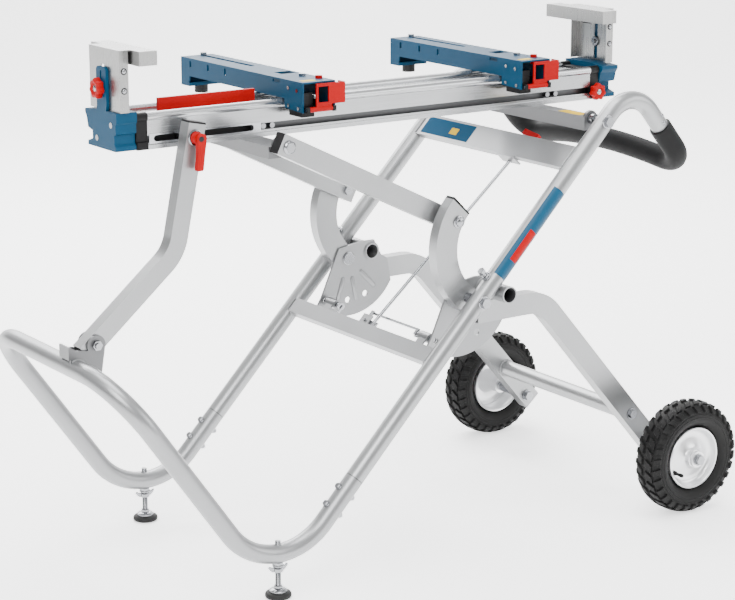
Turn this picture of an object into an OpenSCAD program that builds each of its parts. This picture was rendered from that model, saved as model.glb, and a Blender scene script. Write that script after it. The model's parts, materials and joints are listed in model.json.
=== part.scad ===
// Wheeled folding stand for a miter saw, set up for work.
// X runs along the beam, Y across it (the user stands at -Y), Z is up.
// The origin is on the floor, under the middle of the whole stand.

/* [Frame] */
// Outer diameter of the round frame tubes
tube_d = 32; // [28:1:36]
// Wall thickness of the round frame tubes
tube_wall = 2; // [1.5:0.25:3]
// Distance of each main tube from the middle plane
side_y = 224; // [220:1:228]
// Slope of the main tubes
main_angle = 46.2; // [45.5:0.1:47]
// Slope of the foot loop's legs
loop_angle = 54.8; // [54:0.1:56]
// Foam grip diameter on the push handle
grip_d = 40; // [36:1:42]

/* [Beam] */
// Length of the aluminium beam
beam_len = 919; // [900:1:940]
// Width of the beam
beam_w = 96; // [96:1:100]
// Height of the beam's underside above the floor
beam_z = 730; // [728:1:732]
// Height of the beam profile
beam_h = 59.5; // [59:0.5:61]

/* [Tool mounts] */
// Height of the saw's resting faces, the working height
work_z = 822; // [820:1:830]
// Left edge of each tool mount
mount_x = [-204, 251]; // [-250:1:260]
// Width of a tool mount
mount_w = 64; // [60:1:66]

/* [Wheels] */
// Tyre diameter
wheel_d = 208; // [200:1:208]
// Tyre width
tyre_w = 58; // [50:1:58]
// Distance of each wheel's middle from the middle plane
wheel_y = 288; // [286:1:292]

/* [Hidden] */
$fn = 48;

centre_x = 15.5;    // puts the origin under the middle of the whole stand

tube_r = tube_d / 2;
tube_ri = tube_r - tube_wall;
beam_x = beam_len / 2;
beam_top = beam_z + beam_h;
wheel_r = wheel_d / 2;
running = 0.05;     // radial clearance of a bolt that something turns on
fit = 0.15;         // radial clearance of a fixed bolt in its hole
seam = 0.02;        // hairline between a straight tube and its bend

// Pivots, as [x, z]
carriage_pivot = [71, 441.5];
beam_pivot = [335, 726];
lift_pivot = [-268, 731];
arm_pivot = [50, 576];
strut_pivot = [-586, 437];
axle_at = [502, 104];
foot_vertex = [-343.8, 8.9];     // where the main tube and the loop leg would meet
foot_at = -336;

// Distances along a main tube from the carriage pivot
splice_s = -369.9;
bend_s = 410.3;
stub_s = 40.5;
stub_drop = 31.6;

// Layers across the stand, as distances from the middle plane
gusset_y = [168, 172];
arm_y = [172, 194];
leg_y = [172, 197];
bar_y = [140, 164];
strut_y = [-88, -63];

// --- Helpers ---------------------------------------------------------------

// Shift of the finished drawing, which is measured from the middle of the beam
module placed() {
  translate([centre_x, 0, 0]) children();
}

// Extrudes an [x, z] outline from y0 to y1
module xz(y0, y1) {
  translate([0, y1, 0]) rotate([90, 0, 0]) linear_extrude(y1 - y0) children();
}

// Extrudes a [y, z] outline from x0 to x1
module yz(x0, x1) {
  translate([x0, 0, 0]) rotate([90, 0, 90]) linear_extrude(x1 - x0) children();
}

// Round bar across the stand, centred on p = [x, z]
module bar_across(p, r, y0, y1) {
  translate([p[0], y1, p[1]]) rotate([90, 0, 0]) cylinder(r = r, h = y1 - y0);
}

// Hexagon head or nut across the stand
module hex_across(p, r, y0, y1) {
  translate([p[0], y1, p[1]]) rotate([90, 0, 0]) cylinder(r = r, h = y1 - y0, $fn = 6);
}

// The same thing on both sides of the stand
module both_sides() {
  children();
  mirror([0, 1, 0]) children();
}

// Puts a part on one side only: side is -1 at the front, 1 at the rear
module on_side(side) {
  if (side < 0) mirror([0, 1, 0]) children();
  else children();
}

// Frame of the main tubes: x along the tube, z square to it, from the carriage pivot
module at_main() {
  translate([carriage_pivot[0], 0, carriage_pivot[1]]) rotate([0, -main_angle, 0]) children();
}

// Square box given by its lowest and highest corners
module box(lo, hi) {
  translate(lo) cube(hi - lo);
}

// Rectangle with rounded corners, centred
module rounded(w, h, r) {
  square([w - 2 * r, h], center = true);
  square([w, h - 2 * r], center = true);
  for (x = [-1, 1], y = [-1, 1]) translate([x * (w / 2 - r), y * (h / 2 - r)]) circle(r);
}

// Part of a flat ring, from angle a0 through da degrees (less than 180)
module ring_part(ri, ro, a0, da) {
  far = 2 * ro / cos(da / 2);
  intersection() {
    difference() {
      circle(ro, $fn = 96);
      circle(ri, $fn = 96);
    }
    polygon([[0, 0], far * [cos(a0), sin(a0)], far * [cos(a0 + da / 2), sin(a0 + da / 2)],
      far * [cos(a0 + da), sin(a0 + da)]]);
  }
}

// Straight bar outline from p, at angle a, from s0 to s1 along it
module strip(p, a, s0, s1, half_w) {
  translate(p) rotate(a) translate([s0, -half_w]) square([s1 - s0, 2 * half_w]);
}

// Cross-section of a round tube
module tube_ring(ro, ri) {
  difference() {
    circle(ro);
    circle(ri);
  }
}

// Straight round tube along x
module pipe_x(s0, s1, ro, ri) {
  translate([s0 + seam, 0, 0]) rotate([0, 90, 0]) linear_extrude(s1 - s0 - 2 * seam) tube_ring(ro, ri);
}

// Bend in the local xy plane, about c, from angle a0 through da degrees
module pipe_bend(c, bend_r, a0, da, ro, ri) {
  translate([c[0], c[1], 0]) rotate([0, 0, a0]) rotate_extrude(angle = da)
    translate([bend_r, 0]) tube_ring(ro, ri);
}

// Star knob along +z, with a round hub and lobes
module star_knob(r, h, lobes) {
  linear_extrude(h) {
    circle(r * 0.8);
    for (i = [0 : lobes - 1]) rotate(i * 360 / lobes + 3) translate([r * 0.73, 0]) circle(r * 0.27);
  }
}

// --- Main frame -------------------------------------------------------------

top_bend_r = 60;
handle_drop = 50;        // how steeply the handle plane falls
grip_s = 42;             // where the foam grip starts, from the top bend
corner_r = 42;           // handle corner
bow_angle = 15;          // half angle of the handle's bow
corner_s = 92;
bow_r = (side_y - corner_r) / sin(bow_angle) - corner_r;
bow_s = corner_s + (corner_r + bow_r) * cos(bow_angle);

// Handle plane: x down the slope from the top bends, y across
module at_handle() {
  at_main() translate([bend_s, 0, 0]) translate([0, 0, -top_bend_r])
    rotate([0, main_angle + handle_drop, 0]) translate([0, 0, top_bend_r]) children();
}

module handle_path(ro, ri, s0) {
  for (side = [-1, 1]) {
    translate([0, side * side_y, 0]) pipe_x(s0, corner_s, ro, ri);
    pipe_bend([corner_s, side * (side_y - corner_r)], corner_r, side < 0 ? -90 : -bow_angle,
      90 + bow_angle, ro, ri);
  }
  pipe_bend([bow_s, 0], bow_r, 180.002 - bow_angle, 2 * bow_angle - 0.004, ro, ri);
}

// Each main tube with its top bend and the bowed handle
module upper_frame_tube() {
  placed() color("gainsboro") difference() {
    union() {
      both_sides() at_main() translate([0, side_y, 0]) {
        pipe_x(splice_s, bend_s, tube_r, tube_ri);
        translate([bend_s, 0, -top_bend_r]) rotate([90, 0, 0])
          pipe_bend([0, 0], top_bend_r, 90 - main_angle - handle_drop, main_angle + handle_drop,
            tube_r, tube_ri);
      }
      at_handle() handle_path(tube_r, tube_ri, 0);
    }
    both_sides() {
      bar_across(carriage_pivot, 6 + fit, 200, 250);
      bar_across(beam_pivot, 6 + fit, 200, 250);
      at_main() translate([stub_s, side_y, -20]) cylinder(r = 4 + fit, h = 40);
    }
  }
}

loop_r = 117;
loop_corner_r = 100;
loop_len = 481;
loop_turn = main_angle + loop_angle;
loop_tangent = loop_r * tan(loop_turn / 2);
loop_mid = (main_angle + 180 - loop_angle) / 2;
loop_centre = foot_vertex + loop_r / cos(loop_turn / 2) * [cos(loop_mid), sin(loop_mid)];
loop_top = foot_vertex + loop_len * [-cos(loop_angle), sin(loop_angle)];
splice_bolt_s = [splice_s - 27, splice_s - 62];

// Frame of the foot loop: x up its legs from the foot vertex, y across
module at_loop() {
  translate([foot_vertex[0], 0, foot_vertex[1]]) rotate([0, loop_angle - 180, 0]) children();
}

// Foot loop: two lower tubes with a wide bend at the floor, joined at the top
module foot_loop_tube() {
  vertex_s = (foot_vertex[0] - carriage_pivot[0]) / cos(main_angle);
  placed() color("lightgray") difference() {
    union() {
      both_sides() {
        at_main() translate([0, side_y, 0]) pipe_x(vertex_s + loop_tangent, splice_s, tube_r, tube_ri);
        translate([loop_centre[0], side_y, loop_centre[1]]) rotate([90, 0, 0])
          pipe_bend([0, 0], loop_r, -90 - loop_angle, loop_turn, tube_r, tube_ri);
      }
      at_loop() {
        for (side = [-1, 1]) {
          translate([0, side * side_y, 0]) pipe_x(loop_tangent, loop_len - loop_corner_r, tube_r, tube_ri);
          pipe_bend([loop_len - loop_corner_r, side * (side_y - loop_corner_r)], loop_corner_r,
            side < 0 ? -90 : 0, 90, tube_r, tube_ri);
        }
        translate([loop_len, 0, 0]) rotate([0, 0, 90])
          pipe_x(loop_corner_r - side_y, side_y - loop_corner_r, tube_r, tube_ri);
      }
    }
    both_sides() {
      at_main() for (s = splice_bolt_s) translate([s, side_y, -20]) cylinder(r = 3 + fit, h = 40);
      translate([foot_at, side_y, 50]) cylinder(r = 5.3, h = 50);
    }
  }
}

// Inner sleeves that join the loop to the main tubes
module splice_sleeves() {
  placed() color("silver") difference() {
    both_sides() at_main() translate([0, side_y, 0]) pipe_x(splice_s - 80, splice_s + 60, tube_ri - 0.15, tube_ri - 2.2);
    both_sides() at_main() for (s = splice_bolt_s) translate([s, side_y, -20]) cylinder(r = 3 + fit, h = 40);
  }
}

module splice_bolts() {
  placed() color("silver") both_sides() at_main() for (s = splice_bolt_s) translate([s, side_y, 0]) {
    translate([0, 0, -23]) cylinder(r = 3, h = 41);
    translate([0, 0, 16.2]) cylinder(r = 6, h = 2);
    translate([0, 0, 18]) cylinder(r = 5, h = 4, $fn = 6);
    translate([0, 0, -21]) cylinder(r = 5, h = 4.8, $fn = 6);
  }
}

upper_bar_s = [278, 324];
upper_bar_n = 13;
lower_bar_s = [-140, -111];
lower_bar_n = [-7.5, 12.5];
rod_hole = [277, -60.2, -3.5];

// Pressed channel across the main tubes, with the guide tab of the release rod
module upper_crossbar() {
  placed() color("gainsboro") at_main() difference() {
    union() {
      box([upper_bar_s[0], -side_y, upper_bar_n - 3], [upper_bar_s[1], side_y, upper_bar_n]);
      for (s = [upper_bar_s[0], upper_bar_s[1] - 3])
        box([s, -side_y + 18, upper_bar_n - 12], [s + 3, side_y - 18, upper_bar_n - 3]);
      box([upper_bar_s[0] - 3, rod_hole[1] - 24, -9], [upper_bar_s[0], rod_hole[1] + 24, upper_bar_n]);
    }
    for (side = [-1, 1]) translate([0, side * side_y, 0]) pipe_x(200, 400, tube_r + 0.05, 0.5);
    for (side = [-1, 1]) box([200, side > 0 ? side_y : -side_y - 40, -30], [400, side > 0 ? side_y + 40 : -side_y, 30]);
    translate([260, rod_hole[1], rod_hole[2]]) rotate([0, 90, 0]) cylinder(r = 4.5, h = 24);
  }
}

pin_s = -88;
pin_n = -14;
pin_tip = 167.7;
crank_at = [-100, 20];

// Rectangular tube across the main tubes, with the guides of the two lock pins
module lower_crossbar() {
  placed() color("gainsboro") at_main() difference() {
    union() {
      box([lower_bar_s[0], -side_y, lower_bar_n[0]], [lower_bar_s[1], side_y, lower_bar_n[1]]);
      both_sides() {
        box([-125, 134, -10.5], [-94, 154, -7.5]);
        translate([pin_s, 158, pin_n]) rotate([90, 0, 0]) cylinder(r = 9, h = 28);
      }
      box([lower_bar_s[1], crank_at[1] - 13, -7.5], [crank_at[0] + 12, crank_at[1] + 13, -4.5]);
    }
    box([lower_bar_s[0] + 2, -side_y, lower_bar_n[0] + 2], [lower_bar_s[1] - 2, side_y, lower_bar_n[1] - 2]);
    for (side = [-1, 1]) {
      translate([0, side * side_y, 0]) pipe_x(-200, -50, tube_r + 0.05, 0.5);
      box([-200, side > 0 ? side_y : -side_y - 40, -30], [-50, side > 0 ? side_y + 40 : -side_y, 30]);
      translate([pin_s, side * 170, pin_n]) rotate([side * 90, 0, 0]) cylinder(r = 5 + running, h = 60);
    }
    translate([crank_at[0], crank_at[1], -20]) cylinder(r = 3 + running, h = 30);
  }
}

module handle_grip() {
  placed() color("black") at_handle() handle_path(grip_d / 2, tube_r + 0.15, grip_s);
}

// Bolts that the wheel carriage and the beam turn on
module frame_pivot_bolts() {
  placed() color("silver") both_sides() {
    bar_across(carriage_pivot, 6, 164.6, 243);
    bar_across(carriage_pivot, 11, 240.2, 242.2);
    hex_across(carriage_pivot, 9.5, 242, 248);
    bar_across(carriage_pivot, 9, 194.3, 207.7);
    bar_across(carriage_pivot, 11, 164.6, 167.7);
    bar_across(beam_pivot, 6, 190.4, 243);
    bar_across(beam_pivot, 11, 240.2, 242.2);
    hex_across(beam_pivot, 9.5, 242, 248);
    bar_across(beam_pivot, 9.5, 196.4, 207.7);
  }
}

// Stop screws that the carriage stubs come up against
module stop_adjusters() {
  placed() color("silver") both_sides() at_main() translate([stub_s, side_y, 0]) {
    translate([0, 0, -16.2]) cylinder(r = 4, h = 45);
    translate([0, 0, 16.2]) cylinder(r = 7, h = 5, $fn = 6);
    translate([0, 0, 28]) cylinder(r = 7, h = 6, $fn = 6);
  }
}

// U-shaped bracket welded on the loop, which holds the support strut
module strut_bracket() {
  ear_gap = 0.4;
  placed() color("darkgray") difference() {
    union() {
      for (y = [strut_y[0] - ear_gap - 3.5, strut_y[1] + ear_gap]) xz(y, y + 3.5) difference() {
        union() {
          translate(strut_pivot) circle(16);
          polygon([[-632, 440], [-632, 392], [-578, 388], [-570, 437], [-603, 430], [-622, 433]]);
        }
        translate(loop_top) circle(tube_r + 0.1);
      }
      xz(strut_y[0] - ear_gap - 3.5, strut_y[1] + ear_gap + 3.5)
        polygon([[-635, 440], [-635, 419], [-631.5, 419], [-631.5, 440]]);
    }
    bar_across(strut_pivot, 5 + fit, -100, -40);
  }
  placed() color("silver") {
    bar_across(strut_pivot, 5, -101, -52);
    hex_across(strut_pivot, 8.5, -98, -92);
    hex_across(strut_pivot, 8.5, -58.8, -53);
  }
}

// --- Wheel carriage -------------------------------------------------------------

leg_half = 19;
leg_angle = -48.7;
leg_bend_r = 67;
leg_top_z = 412;
leg_bend_x = 205;
leg_bend_end = [leg_bend_x + leg_bend_r * sin(-leg_angle), leg_top_z - leg_bend_r * (1 - cos(leg_angle))];
leg_len = (axle_at[0] - leg_bend_end[0]) / cos(leg_angle) + 24;
cross_tube_at = [449, 169];
lock_hole = [20.2, 368.3];

module leg_outline(inset) {
  half = leg_half - inset;
  translate([92, leg_top_z - half]) square([leg_bend_x - 92, 2 * half]);
  translate([leg_bend_x, leg_top_z - leg_bend_r]) ring_part(leg_bend_r - half, leg_bend_r + half, 90 + leg_angle, -leg_angle);
  strip(leg_bend_end, leg_angle, 0, leg_len, half);
}

module leg_tube(side) {
  placed() color("gainsboro") on_side(side) difference() {
    xz(leg_y[0], leg_y[1]) leg_outline(0);
    xz(leg_y[0] + 2, leg_y[1] - 2) leg_outline(2);
    bar_across(axle_at, 6 + fit, 160, 210);
    bar_across(cross_tube_at, 5 + fit, 160, 210);
  }
}

arm_centre = [134, 527];
arm_r = 108.5;
arm_half = 22;
arm_from = 137;
arm_sweep = 105.3;

module curved_arm(side) {
  placed() color("gainsboro") on_side(side) difference() {
    xz(arm_y[0], arm_y[1]) translate(arm_centre) ring_part(arm_r - arm_half, arm_r + arm_half, arm_from, arm_sweep);
    xz(arm_y[0] + 2, arm_y[1] - 2) translate(arm_centre)
      ring_part(arm_r - arm_half + 2, arm_r + arm_half - 2, arm_from, arm_sweep);
    bar_across(carriage_pivot, 6 + running, 160, 210);
    bar_across(arm_pivot, 5 + fit, 160, 210);
  }
}

stub_at = carriage_pivot + stub_s * [cos(main_angle), sin(main_angle)]
  + stub_drop * [sin(main_angle), -cos(main_angle)];

// Plate that joins arm, leg and stub, with the lock hole
module gusset(side) {
  placed() color("silver") on_side(side) difference() {
    xz(gusset_y[0], gusset_y[1]) intersection() {
      translate(carriage_pivot) circle(109, $fn = 96);
      polygon([[-6, 346], [12, 376], [50, 462], [100, 470], [128, 470], [144, 440], [158, 431], [166, 388], [166, 300], [-6, 300]]);
    }
    bar_across(carriage_pivot, 6 + running, 160, 180);
    bar_across(lock_hole, 5 + running, 160, 180);
    bar_across([69, 363], 6, 160, 180);
    bar_across([108, 370], 6, 160, 180);
    bar_across(stub_at, 15.1, 160, 180);
  }
}

// Round tube between the legs and the two short stop stubs
module carriage_cross_tube() {
  placed() color("gainsboro") {
    difference() {
      bar_across(cross_tube_at, 15, -172, 172);
      bar_across(cross_tube_at, 13, -168, 168);
      bar_across(cross_tube_at, 5 + fit, -200, 200);
    }
    both_sides() difference() {
      bar_across(stub_at, 15, 165, 245);
      bar_across(stub_at, 13, 160, 250);
    }
  }
}

// Bolts at the arm tops and at the ends of the cross tube
module carriage_fasteners() {
  placed() color("silver") both_sides() {
    bar_across(arm_pivot, 5, 164.4, 196);
    hex_across(arm_pivot, 8.5, 194.2, 200);
    bar_across(arm_pivot, 9, 164.4, 171.8);
    bar_across(cross_tube_at, 5, 150, 199);
    bar_across(cross_tube_at, 11, 197.2, 199);
    hex_across(cross_tube_at, 8, 199, 204);
    hex_across(cross_tube_at, 8, 150, 156);
  }
}

// Black plugs in the open ends of the rectangular tubes of the carriage
module tube_plugs() {
  placed() color("black") both_sides() {
    xz(arm_y[0], arm_y[1]) translate(arm_centre) ring_part(arm_r - arm_half, arm_r + arm_half, arm_from - 2, 2);
    xz(leg_y[0] + 2, leg_y[1] - 2) strip(leg_bend_end, leg_angle, leg_len - 3, leg_len, leg_half - 2);
  }
}

// Axle bolts with their spacers
module axles() {
  placed() color("silver") both_sides() {
    bar_across(axle_at, 6, 162, 330);
    hex_across(axle_at, 9.5, 162, 170);
    bar_across(axle_at, 10, 197.3, 254.5);
    bar_across(axle_at, 11, 321.2, 323);
    hex_across(axle_at, 9, 323, 330);
  }
}

rim_r = 54;

// Wheel profile helper: children hold [radius, distance along the axle]
module wheel_turn(side) {
  translate([axle_at[0], side * wheel_y, axle_at[1]]) rotate([side * -90, 0, 0]) rotate_extrude($fn = 96) children();
}

// Pressed steel rim: hub tube, dished disc and barrel with rolled edges
module rim(side) {
  placed() color("silver") wheel_turn(side) {
    translate([6 + running, -33]) square([10, 66]);
    polygon([[15, 10], [24, 12], [38, 0], [51, 2], [51, 5], [37, 3], [25, 15], [15, 14]]);
    translate([50.5, -23]) square([2.5, 46]);
    translate([50.5, 21]) square([6, 3]);
    translate([50.5, -24]) square([6, 3]);
  }
}

// Pneumatic tyre, open towards the rim
module tyre(side) {
  mid_r = (rim_r + wheel_r) / 2;
  placed() color("dimgray") wheel_turn(side) difference() {
    translate([mid_r, 0]) rounded(wheel_r - rim_r, tyre_w, 20);
    translate([mid_r, 0]) rounded(wheel_r - rim_r - 14, tyre_w - 14, 14);
    translate([rim_r - 1, -20.5]) square([14, 41]);
    translate([rim_r - 1, 20.7]) square([3.8, 3.6]);
    translate([rim_r - 1, -24.3]) square([3.8, 3.6]);
  }
}

// --- Lift linkage -----------------------------------------------------------------

bar_half = 17.5;
bar_len = norm(arm_pivot - lift_pivot);
bar_angle = atan2(arm_pivot[1] - lift_pivot[1], arm_pivot[0] - lift_pivot[0]);

// Bar that carries the beam's left end on the carriage arm
module lift_bar(side) {
  placed() on_side(side) {
    color("gainsboro") difference() {
      xz(bar_y[0], bar_y[1]) strip(lift_pivot, bar_angle, -15, bar_len + 16, bar_half);
      xz(bar_y[0] + 2, bar_y[1] - 2) strip(lift_pivot, bar_angle, -20, bar_len + 20, bar_half - 2);
      bar_across(lift_pivot, 5 + running, 130, 180);
      bar_across(arm_pivot, 5 + fit, 130, 180);
    }
    color("black") for (s = [-17, bar_len + 16])
      xz(bar_y[0], bar_y[1]) strip(lift_pivot, bar_angle, s, s + 2, bar_half);
    color("silver") {
      bar_across(arm_pivot, 5, 134, 163.6);
      hex_across(arm_pivot, 8.5, 134, 139.8);
    }
  }
}

// --- Beam ----------------------------------------------------------------------------

groove_z = beam_z + 16.5;
lane = [30, 42];             // free width and height of each rail lane
lane_z = beam_z + 26;

// Half of the beam's section towards +y, seen along x
module beam_half() {
  half = beam_w / 2;
  difference() {
    union() {
      translate([0, beam_z]) square([half, 7]);
      translate([0, beam_z]) square([half - 3, beam_h - 9]);
      translate([half - 7.5, beam_top - 7.5]) circle(7.5);
      translate([half - 7.5, beam_z + 30]) square([4.5, beam_h - 37.5]);
    }
    translate([1.5, lane_z - lane[1] / 2]) square(lane);
    translate([half - 14.5, groove_z - 8.5]) square([8.5, 17]);
    translate([half - 10, groove_z - 5.5]) square([12, 11]);
    translate([half - 14.5, beam_z + 28]) square([8.5, beam_h - 40]);
  }
}

// Extruded aluminium beam: two rail lanes, round beads on top, a groove in each side
module beam_profile() {
  placed() color("lightgray") difference() {
    yz(-beam_x, beam_x) {
      beam_half();
      mirror([1, 0]) beam_half();
    }
    for (x = bolt_x) both_sides() translate([x, 24, beam_z - 1]) cylinder(r = 3 + fit, h = 5);
  }
}

cap_len = 20;

// Outline of the beam's end caps
module cap_outline() {
  translate([-beam_w / 2, beam_z]) square([beam_w, 12]);
  translate([-beam_w / 2 + 3, beam_z]) square([beam_w - 6, beam_h - 6]);
  for (s = [-1, 1]) translate([s * (beam_w / 2 - 7.5), beam_top - 7.5]) circle(7.5);
}

// Black end caps that guide the rails and hold the clamp screws
module beam_end_caps() {
  placed() color("black") difference() {
    for (x = [-beam_x - cap_len, beam_x]) yz(x, x + cap_len) cap_outline();
    box([-500, 1.5, lane_z - 21], [0, 31.5, lane_z + 21]);
    box([0, -31.5, lane_z - 21], [500, -1.5, lane_z + 21]);
    for (s = [-1, 1]) translate([s * (beam_x + 10), s * -28, rail_knob_z]) rotate([s * 90, 0, 0]) cylinder(r = 4 + running, h = 40);
  }
}

rail_knob_z = beam_z + 14;
bolt_x = [-279, -257, 329, 341];
ear_r = 14;

// Channels under the beam: the left one carries the lift bars, the right one turns on the frame
module beam_channels() {
  placed() color("gray") {
    difference() {
      union() {
        box([-290, -136, beam_z - 20], [-246, 136, beam_z]);
        both_sides() xz(131, 136) translate(lift_pivot) circle(ear_r);
      }
      box([-287, -131, beam_z - 25], [-249, 131, beam_z - 3]);
      for (x = [-279, -257], y = [-24, 24]) translate([x, y, beam_z - 5]) cylinder(r = 3 + fit, h = 10);
      both_sides() {
        bar_across(lift_pivot, 5 + fit, 120, 145);
        bar_across(lift_pivot, 9.5, 121, 131);
      }
    }
    difference() {
      union() {
        box([320, -196, beam_z - 24], [350, 196, beam_z]);
        both_sides() xz(190, 196) translate(beam_pivot) circle(ear_r);
      }
      box([323, -190, beam_z - 30], [347, 190, beam_z - 3]);
      for (x = [329, 341], y = [-24, 24]) translate([x, y, beam_z - 5]) cylinder(r = 3 + fit, h = 10);
      both_sides() bar_across(beam_pivot, 6 + running, 180, 200);
    }
  }
}

slot_x = [-449, -262];

// Slotted cover plate on the front groove
module slot_plate() {
  y = -beam_w / 2 + 3;
  placed() color("gainsboro") xz(y - 1.5, y) difference() {
    translate([slot_x[0] - 8, groove_z - 8]) square([slot_x[1] - slot_x[0] + 22, 16]);
    translate([slot_x[0] + 5, groove_z - 5]) square([slot_x[1] - slot_x[0] - 10, 10]);
    for (x = [slot_x[0] + 5, slot_x[1] - 5]) translate([x, groove_z]) circle(5);
  }
}

// Screws in the side grooves, bolts of the channels and pins of the lift bars
module beam_bolts() {
  placed() color("silver") {
    both_sides() for (x = [-241, -224, 362, 381])
      bar_across([x, groove_z], 4.6, beam_w / 2 - 14.5, beam_w / 2 - 5);
    for (x = bolt_x, y = [-24, 24]) translate([x, y, beam_z - 8]) {
      cylinder(r = 3, h = 10);
      cylinder(r = 5, h = 4.8, $fn = 6);
    }
    both_sides() {
      bar_across(lift_pivot, 5, 122, 169);
      bar_across(lift_pivot, 9, 136, 139.7);
      hex_across(lift_pivot, 8.5, 164.3, 169.5);
      hex_across(lift_pivot, 8.5, 124, 130.8);
    }
  }
}

// Red strip that stands in the beam's top valley and stops the left tool mount
module stop_strip() {
  placed() color("red") box([-421, -13, beam_z + beam_h - 9], [-239, -7, beam_top + 15.5]);
}

// --- Support strut -----------------------------------------------------------------------

strut_half = 15.5;
strut_bend = [-434.6, 565];
strut_low = atan2(strut_bend[1] - strut_pivot[1], strut_bend[0] - strut_pivot[0]);
strut_high = 78.4;
strut_bend_r = 75;
strut_tangent = strut_bend_r * tan((strut_high - strut_low) / 2);
strut_low_len = norm(strut_bend - strut_pivot);
strut_top_s = 210;
strut_bolt = strut_bend + 187.8 * [cos(strut_high), sin(strut_high)];

module strut_outline(inset, ends) {
  half = strut_half - inset;
  strip(strut_pivot, strut_low, -22 - ends, strut_low_len - strut_tangent, half);
  translate(strut_bend - strut_tangent * [cos(strut_low), sin(strut_low)] + strut_bend_r * [-sin(strut_low), cos(strut_low)])
    ring_part(strut_bend_r - half, strut_bend_r + half, strut_low - 90, strut_high - strut_low);
  strip(strut_bend, strut_high, strut_tangent, strut_top_s + ends, half);
}

// Bent rectangular tube from the loop up to the beam's slot
module strut() {
  placed() color("gainsboro") difference() {
    xz(strut_y[0], strut_y[1]) strut_outline(0, 0);
    xz(strut_y[0] + 2, strut_y[1] - 2) strut_outline(2, 5);
    bar_across(strut_pivot, 5 + running, -100, -50);
    bar_across(strut_bolt, 4 + running, -100, -50);
  }
}

module strut_cap() {
  placed() color("black") xz(strut_y[0], strut_y[1]) strip(strut_bend, strut_high, strut_top_s, strut_top_s + 3, strut_half);
}

// Clamping lever on the strut: washer, boss and a handle that hangs down
module clamp_lever() {
  placed() color("silver") {
    bar_across(strut_bolt, 11, strut_y[0] - 2.2, strut_y[0] - 0.2);
    bar_across(strut_bolt, 4, strut_y[0] - 20, strut_y[1] - 1);
  }
  placed() color("red") {
    bar_across(strut_bolt, 8, strut_y[0] - 18, strut_y[0] - 2.2);
    xz(strut_y[0] - 20, strut_y[0] - 8) hull() {
      translate(strut_bolt + [3, 0]) circle(8.5, $fn = 32);
      translate(strut_bolt + [-2, -50]) square([12, 4], center = true);
    }
  }
}

// Sliding nut that runs in the beam's slot
module slot_nut() {
  placed() color("silver") {
    bar_across([strut_bolt[0], groove_z], 4.4, -62.6, -38);
    bar_across([strut_bolt[0], groove_z], 8.8, -62.6, -47);
    translate([strut_bolt[0], -38.5, groove_z]) cube([16, 6, 14], center = true);
  }
}

// --- Extensions ----------------------------------------------------------------------------

rail_len = 860;
bracket_x = beam_x + cap_len + 1;
bracket_len = 37;
stud_z = 828;

// Rotates a left-hand part half a turn about Z, to the right-hand end
module at_end(side) {
  if (side > 0) rotate([0, 0, 180]) children();
  else children();
}

// Square tube that slides in the beam
module rail(side) {
  placed() color("silver") at_end(side) difference() {
    box([-bracket_x, 1.8, lane_z - 20.7], [-bracket_x + rail_len, 31.2, lane_z + 20.7]);
    box([-bracket_x - 1, 4.3, lane_z - 18.2], [-bracket_x + rail_len + 1, 28.7, lane_z + 18.2]);
  }
}

// Cast end bracket with a tongue for the height clamp
module end_bracket(side) {
  x0 = -bracket_x - bracket_len;
  placed() color("steelblue") at_end(side) difference() {
    union() {
      yz(x0, -bracket_x) polygon([[-46, 731], [47, 731], [47, 738], [31, 743], [31, 756], [46, 760], [50, 776],
        [55, 783], [55, 789], [15, 792.7], [-50, 792.7], [-50, 777], [-47, 773], [-47, 759], [-42, 757],
        [-42, 742], [-46, 738]]);
      yz(x0, x0 + 5) polygon([[-16, 790], [16, 790], [13, 800], [13, 858], [9, 862], [-15, 862], [-19, 858], [-19, 800]]);
    }
    box([x0 + 5, -36, 741], [-bracket_x - 6, 26, 783]);
    translate([x0 - 1, 0, stud_z]) rotate([0, 90, 0]) cylinder(r = 4 + running, h = 8);
    box([x0 - 1, -5, 842], [x0 + 6, 0, 856]);
    for (p = [[-32, 772], [16, 746]]) translate([x0 - 1, p[0], p[1]]) rotate([0, 90, 0]) cylinder(r = 5, h = 4);
  }
  placed() color("silver") at_end(side) for (p = [[-32, 772], [16, 746]])
    translate([x0 - 0.5, p[0], p[1]]) rotate([0, 90, 0]) cylinder(r = 4.8, h = 3.5);
}

sheet = 2;

// Folded sheet that supports long work, with a box arm across the top
module work_support(side) {
  x0 = -bracket_x - bracket_len + 5.3;
  top = 892;
  placed() color("gainsboro") at_end(side) difference() {
    union() {
      box([x0, -55, 793.2], [x0 + sheet, 45, top]);
      for (y = [-55, 45 - sheet]) box([x0, y, 793.2], [x0 + 16, y + sheet, top]);
      box([x0, -55, top - sheet], [x0 + 30, 45, top]);
      box([x0 + 20, -84, top - 23], [x0 + 52, 76, top]);
    }
    box([x0 + 22, -82, top - 25], [x0 + 50, 74, top - 2]);
    box([x0 - 1, -4.6, 800], [x0 + 3, 4.6, 862]);
    for (z = [800, 862]) translate([x0 - 1, 0, z]) rotate([0, 90, 0]) cylinder(r = 4.6, h = 5);
    for (z = [828, 859]) translate([x0 + 8, -60, z]) rotate([-90, 0, 0]) cylinder(r = 3, h = 6);
  }
  placed() color("black") at_end(side) xz(-58 + 20, -36 + 20)
    polygon([[x0 + sheet, top - sheet], [x0 + sheet, top - 34], [x0 + 18, top - 26], [x0 + 19.5, top - sheet]]);
}

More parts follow.
